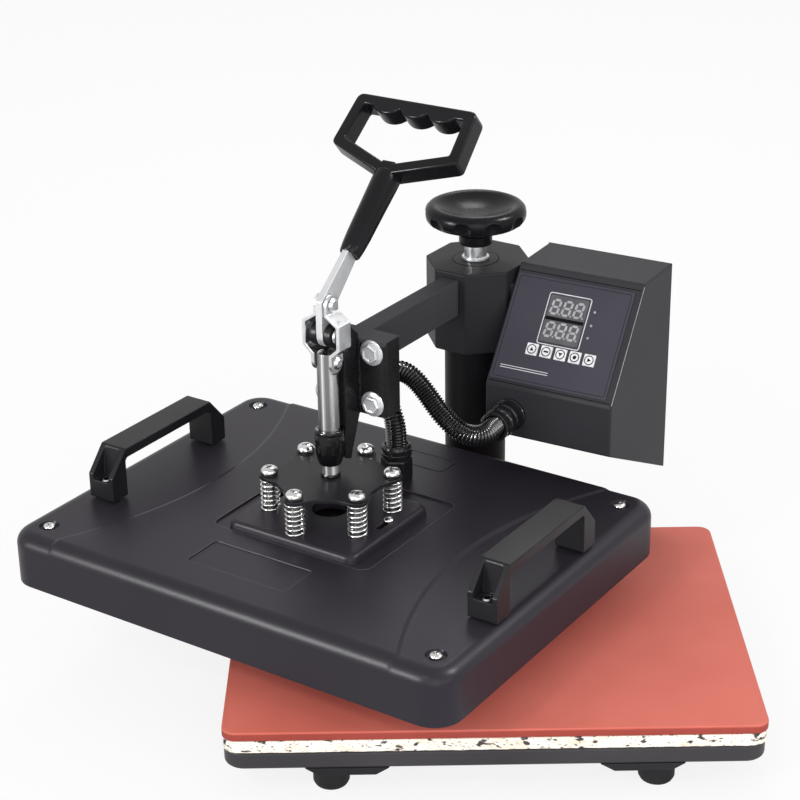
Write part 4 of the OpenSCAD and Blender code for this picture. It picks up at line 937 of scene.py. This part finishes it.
def make_bed():
    bed = slab("lower_platen_dressed", (0.379, 0.294, 0.0130), (BED_X, BED_Y, 0.0300), 0.015, 12)
    ease_rim(bed, 0.0235, 0.0026, 5)
    ease_rim(bed, 0.0365, 0.0016, 4)
    smooth_flats(bed, 50)
    settle(bed, HERE, "base", "bed_paint_painted_light", "lower_platen")


def make_pad():
    sheet = slab("silicone_pad", (0.380, 0.295, 0.0068), (BED_X, BED_Y, 0.0506), 0.010, 8)
    ease_rim(sheet, 0.0540, 0.0011, 4)
    ease_rim(sheet, 0.0472, 0.0008, 3)
    smooth(sheet, 50)
    settle(sheet, HERE, "base", "silicone", "silicone_sheet")

    foam = slab("foam_pad", (0.3785, 0.2935, 0.0106), (BED_X, BED_Y, 0.0418), 0.0095, 8)
    select_all()
    bpy.ops.mesh.subdivide(number_cuts=3)
    modify(foam, "REMESH", mode="VOXEL", voxel_size=0.0022)
    lumps = bpy.data.textures.new("foam_lumps", "CLOUDS")
    lumps.noise_scale = 0.006
    modify(foam, "DISPLACE", texture=lumps, texture_coords="LOCAL", strength=0.0008, mid_level=0.6)
    smooth(foam, 60)
    settle(foam, HERE, "base", "foam", "foam_board")


# The control box


def make_box():
    """The box shell with its edges rounded, except those at the back."""
    shell = lifted("box_shell")
    select_all()
    bpy.ops.mesh.convex_hull()
    bpy.ops.mesh.dissolve_limited(angle_limit=radians(3))
    into_box = BOX.inverted()
    choose(shell, "EDGE", lambda e: e.calc_face_angle(0) > radians(20)
           and not all((into_box @ v.co).y > 0.0495 for v in e.verts))
    round_off(0.0017, 4)
    smooth_flats(shell, 40)
    settle(shell, HERE, "head", "box_paint", "box_shell")


def make_glands():
    """The collars of the hose: one stands out of the box, one stands on the platen over its nut."""
    collar = turned("box_gland_dressed", [
        (6, -2), (12.6, -1), (13.1, 0.3), (13.1, 2), (12.6, 2.6), (11.3, 2.9), (11.1, 3.6), (11.1, 8.6), (11.9, 9),
        (12.2, 9.6), (12.2, 11.1), (11.8, 11.7), (11.2, 12), (11.2, 16.6), (11.9, 17), (12.2, 17.7), (12.2, 19.3),
        (11.7, 20), (11.1, 20.4), (11.3, 25.5), (11.9, 27), (11.9, 28.2), (11.5, 28.9), (9.9, 29), (9.2, 28.4),
        (8.8, 20)], 64)
    smooth(collar, 25)
    place = BOX @ shift(0.0628, -0.060, 0.1725) @ spin(radians(90), "X")
    settle(collar, place, "head", "gland_plastic", "box_gland")

    nut = turned("gland_nut", [(11.2, 129.4), (12.6, 130), (12.6, 146.8), (11.5, 148), (9, 148.1)], 6)
    ease_edges(nut, 0.0008, 3, 30)
    smooth_flats(nut, 30)
    collar = turned("gland_collar", [
        (9, 147), (10.9, 148), (11.1, 149.5), (11.8, 149.9), (12, 150.6), (12, 152.2), (11.6, 152.8), (11, 153.1),
        (11, 154), (11.6, 154.4), (11.8, 155.1), (11.7, 156.8), (11.2, 158), (10.2, 159.4), (9.2, 159.4),
        (8.8, 158.6), (8.7, 150)], 64)
    smooth(collar, 25)
    settle(merge([nut, collar], "platen_gland_dressed"), PLATEN @ shift(0.005, 0.075, 0), "platen",
           "gland_plastic", "platen_gland")


def make_welds():
    """Two weld beads where the rib meets the web of the bracket, and the cap on the bracket's top edge."""
    long, rings = 0.052, 40
    put_down()
    bpy.ops.mesh.primitive_cylinder_add(vertices=12, radius=0.0014, depth=long)
    bead = begin("weld_bead")
    for k in range(1, rings):
        select_all()
        bpy.ops.mesh.bisect(plane_co=(0, 0, -long / 2 + long / rings * k), plane_no=(0, 0, 1))
    lumps = bpy.data.textures.new("weld_lumps", "CLOUDS")
    lumps.noise_scale = 0.0025
    modify(bead, "DISPLACE", texture=lumps, texture_coords="LOCAL", strength=0.0018, mid_level=0.45)
    smooth(bead, 60)
    beads = set_out(bead, "weld_beads", [shift(side * 0.0097, -0.1783, 0.2385) @ spin(side, "Z") for side in (-1, 1)])
    settle(beads, HEAD, "head", "bracket_paint", slot="black_paint")

    # The cap takes the arm's lighter paint, which is painted light.
    cap = block("bracket_cap", (0.0636, 0.0206, 0.0027), (0, -0.1678, 0.26585))
    ease_rim(cap, 0.2672, 0.0010)
    smooth_flats(cap, 40)
    settle(cap, HEAD, "head", "arm_paint_painted_light", slot="black_paint")


def make_digits():
    """Six seven-bar figures in two rows, all bars, as an unlit display shows them."""
    wide, high, thick, lean = 6.0, 11.2, 1.9, 0.12
    low, top = 1.18, 1.26
    level_bars = [(0, y * high / 2, wide - 1, False) for y in (1, 0, -1)]
    upright_bars = [(x * wide / 2, y * high / 4, high / 2 - 0.5, True) for y in (1, -1) for x in (-1, 1)]

    def bar(cx, cy, length, stands):
        half, tip = length / 2, thick / 2
        line = [(-half, 0), (-half + tip, tip), (half - tip, tip), (half, 0), (half - tip, -tip), (-half + tip, -tip)]
        if stands:
            line = [(-y, x) for x, y in line]
        return [(cx + x + lean * (cy + y), cy + y) for x, y in line]

    pieces = []
    for row in (0, 1):
        for column in range(3):
            ox, oy = 40.6 + column * 9.9, 69.6 - row * 18.4
            for lay in level_bars + upright_bars:
                pieces.append(flat("bar", [(ox + x, oy + y) for x, y in bar(*lay)], low, top))
            pieces.append(flat("dot", ring_outline(ox + wide / 2 + 1.3, oy - high / 2, 0.7, 10), low, top))
    return merge(pieces, "display_figures")


KEYS = [("key_up", "up_key"), ("key_set", "set_key"), ("key_down", "down_key"), ("key_mode", "mode_key"),
        ("key_start", "start_key")]
KEY_SIGNS = [[(-1.7, -1.3), (1.7, -1.3), (0, 1.7)], round_outline(-2.0, -0.7, 2.0, 0.7, 0.3, 2),
             [(-1.7, 1.3), (0, -1.7), (1.7, 1.3)], ring_outline(0, 0, 1.5, 18), [(-1.3, -1.7), (1.7, 0), (-1.3, 1.7)]]
FIRST_KEY, KEY_PITCH, KEY_ROW, KEY_TOP, KEY_RING = 31, 12.2, 33, 1.6, 3.9
FILM_TOP = 0.78


def make_panel():
    """The printed film: its border, the display and its frame, the rule, the lamps and the keys, with dark strips in
    the seams as painted shadow and a light bead on the right edge as painted highlight.
    """

    def lay_on(piece, finish, slot="overlay"):
        settle(piece, PANEL, "head", finish, slot=slot)

    lay_on(frame_line("panel_border", 4.0, 7.0, 99.5, 90.0, 1.5, 0.35, FILM_TOP, 0.86), "print_black")
    # Dark strips along the film's top and bottom seams: painted shadow of the gaps there.
    lay_on(merge([flat("seam", round_outline(1.8, y, 105.7, y + 0.7, 0.3, 2), -0.05, 0.06) for y in (2.6, 94.2)],
                 "painted_seam_shadows"), "print_black")
    # A thin light grey bead along the panel's right edge: painted highlight of the bend there.
    bead = block("painted_highlight_bead", (0.0005, 0.096, 0.0005), (0.10706, 0.050, -0.00040))
    round_off(0.00018, 3)
    smooth(bead, 60)
    lay_on(bead, "print_grey")
    lay_on(frame_line("display_frame", 32.6, 38.6, 69.0, 81.0, 2.2, 0.75, FILM_TOP, 0.90), "print_white")
    lay_on(flat("display_split", round_outline(34.6, 58.6, 66.9, 61.4, 0.4), 1.17, 1.3), "print_black")
    lay_on(make_digits(), "digit_grey", "window")
    lay_on(merge([flat("rule", round_outline(8.5, y, 49.5, y + 0.55, 0.2, 2), FILM_TOP, 0.88) for y in (14.6, 16.4)],
                 "panel_rule"), "print_white")
    lay_on(merge([flat("lamp", ring_outline(73.5, y, 1.0, 18), FILM_TOP, 0.95) for y in (71, 60, 50)],
                 "panel_lamps"), "print_grey")

    low, top, y, r = KEY_TOP - 0.02, KEY_TOP + 0.06, KEY_ROW, KEY_RING
    for i, ((node, body), sign) in enumerate(zip(KEYS, KEY_SIGNS)):
        x = FIRST_KEY + KEY_PITCH * i
        dressed(node, body, "key_white", 0.5, 3)
        marks = [frame_line("ring", x - r, y - r, x + r, y + r, r - 0.01, 0.75, low, top),
                 flat("sign", [(x + a, y + b) for a, b in sign], low, top)]
        settle(merge(marks, node + "_mark"), PANEL, body, "print_black", slot="key_white")


# The knob, the grip and the lever


def make_knob():
    knob = turned("pressure_knob_dressed", [
        (9.5, 285), (12.6, 285), (13.4, 285.8), (13.4, 292.8), (15, 294.8), (20.5, 298.2), (27, 300.8), (32.5, 302),
        (35.5, 302.6), (38, 304.2), (39.7, 306.6), (40.5, 309.4), (40.5, 312), (39.6, 315), (37.6, 317.2),
        (35, 318.3), (32.5, 318.1), (29.8, 316.8), (25.8, 314.7), (20, 312.5), (14, 311), (11, 310.5),
        (9.8, 310.35), (3, 310.3)], 120)
    scoops, ring = 10, 0.0452
    for k in range(scoops):
        scoop = turned("scoop", [
            (9.5, 280), (9.5, 305.2), (9.1, 308.6), (7.8, 311.3), (5.6, 313.2), (2.5, 314.2)], 40)
        turn = radians(360 / scoops * k)
        cut(knob, carry(scoop, shift(ring * cos(turn), ring * sin(turn), 0)))
    ease_edges(knob, 0.0006, 2, 38)
    smooth(knob, 45)
    settle(knob, shift(POST_X, POST_Y, 0), "knob", "knob_bakelite", "pressure_knob")


def make_grip():
    """The loop grip with its three finger bumps, and the sleeve that holds it on the lever."""
    half_thick = 8.5
    half = [(51.4, 124.2), (53.3, 125.1), (54.6, 126.6), (55, 128.6), (52.7, 165.4), (52.2, 167.6), (51.0, 169.5),
            (49.2, 170.6), (47.0, 171)]
    outside = [(0, 106)] + half + [(-x, y) for x, y in reversed(half)]
    loop = flat("handle_grip_dressed", outside, -half_thick, half_thick)
    side = [(5.0, 118.9), (5.7, 117.6), (45.0, 131.5), (45.7, 132.2), (45.8, 133.2), (44.3, 160.6),
            (43.8, 161.7), (42.8, 162)]
    bumps, reach, curve = [], 12, 15.84
    for middle in (24.5, 0.5, -23.5):
        for x in range(reach, -reach - 1, -2):
            if x < reach or not bumps:
                rise = (curve ** 2 - x * x) ** 0.5 - (curve ** 2 - reach ** 2) ** 0.5
                bumps.append((middle + x, 162 - rise))
    inside = side + bumps + [(-x, y) for x, y in reversed(side)]
    cut(loop, flat("grip_hole", inside, -14, 14))
    take_up(loop)
    for face in (-half_thick * MM, half_thick * MM):
        choose(loop, "EDGE", lambda e: at_height(e, face) and e.calc_face_angle(0) > radians(60))
        round_off(0.0021, 5)
    smooth_flats(loop, 40)
    sleeve = turned("grip_sleeve", [
        (6, 41.6), (7.3, 41.2), (7.9, 42), (8.7, 48), (9.3, 58), (9.7, 75), (10.2, 93), (10.5, 103), (10.5, 110.4),
        (10.2, 111), (9.6, 111.3), (3, 111.3)], 64)
    smooth(carry(sleeve, spin(radians(-90), "X")), 40)
    settle(merge([loop, sleeve], "handle_grip_dressed"), LEVER, "lever", "bakelite", "handle_grip")


def make_lever():
    """The lever bar, drawn a little thinner where it runs up into the grip."""
    bar = carry(lifted("lever_bar"), LEVER.inverted())
    take_up(bar)
    choose(bar, "VERT", lambda v: v.co.y > 0.0125)
    bpy.ops.transform.resize(value=(0.9, 1, 0.78), center_override=(0, 0, 0))
    ease_edges(bar, 0.0007, 3, EDGE_ANGLE)
    smooth_flats(bar, EDGE_ANGLE)
    settle(bar, LEVER, "lever", "dull_zinc", "lever_bar")


# Nodes that keep their shape, with broken edges

BROKEN_EDGES = [
    ("base", "frame_paint", 1.0, "left_runner", "right_runner", "rear_plate"),
    ("base", "post_paint_painted_shade", 0.6, "post"), ("base", "foot_rubber", 0.8, "rubber_feet"),
    ("head", "frame_paint", 1.4, "head_block"), ("head", "arm_paint_painted_light", 1.0, "swing_arm"),
    ("head", "bracket_paint", 0.8, "arm_bracket"), ("head", "gland_plastic", 0.6, "mains_gland"),
    ("head", "box_paint", 0.4, "box_cover"),
    ("head", "overlay", 0.15, "panel_overlay"), ("head", "window", 0.2, "display_window"),
    ("links", "zinc", 0.7, "left_link", "right_link"), ("links", "zinc", 0.3, "link_studs"),
    ("lever", "zinc", 0.3, "link_pin"), ("head", "zinc", 0.3, "pivot_pin"),
    ("platen", "moulded", 0.9, "left_handle", "right_handle"), ("platen", "zinc", 0.2, "handle_screws"),
    ("head", "moulded", 0.5, "switch_housing", "fuse_holder"), ("rocker", "rocker_red", 0.5, "switch_rocker"),
    ("knob", "zinc", 0.3, "pressure_screw"),
]

# Nodes that only get a finish
PLAIN_NODES = {
    "zinc": ("foot_screws", "bed_bolts", "frame_bolts", "box_screws", "plunger_pin"),
    "bronze": ("post_nut", "sleeve_bushes"), "frame_paint": ("thrust_bearing",), "board": ("circuit_board",),
    "hot_metal": ("heat_plate",), "element": ("heating_element",), "wool": ("insulation",),
}


def finish_nodes():
    for body, finish, width, *nodes in BROKEN_EDGES:
        for node in nodes:
            dressed(node, body, finish, width)
    for finish, nodes in PLAIN_NODES.items():
        for node in nodes:
            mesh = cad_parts[node].data
            mesh.materials.clear()
            mesh.materials.append(FINISHES[finish])


set_camera()
make_finishes()
make_hose()
set_studio()
for make in (make_cover, make_boss, make_screws, make_plunger, make_springs, make_bed, make_pad, make_box, make_glands,
             make_welds, make_panel, make_knob, make_grip, make_lever, finish_nodes):
    make()
put_down()
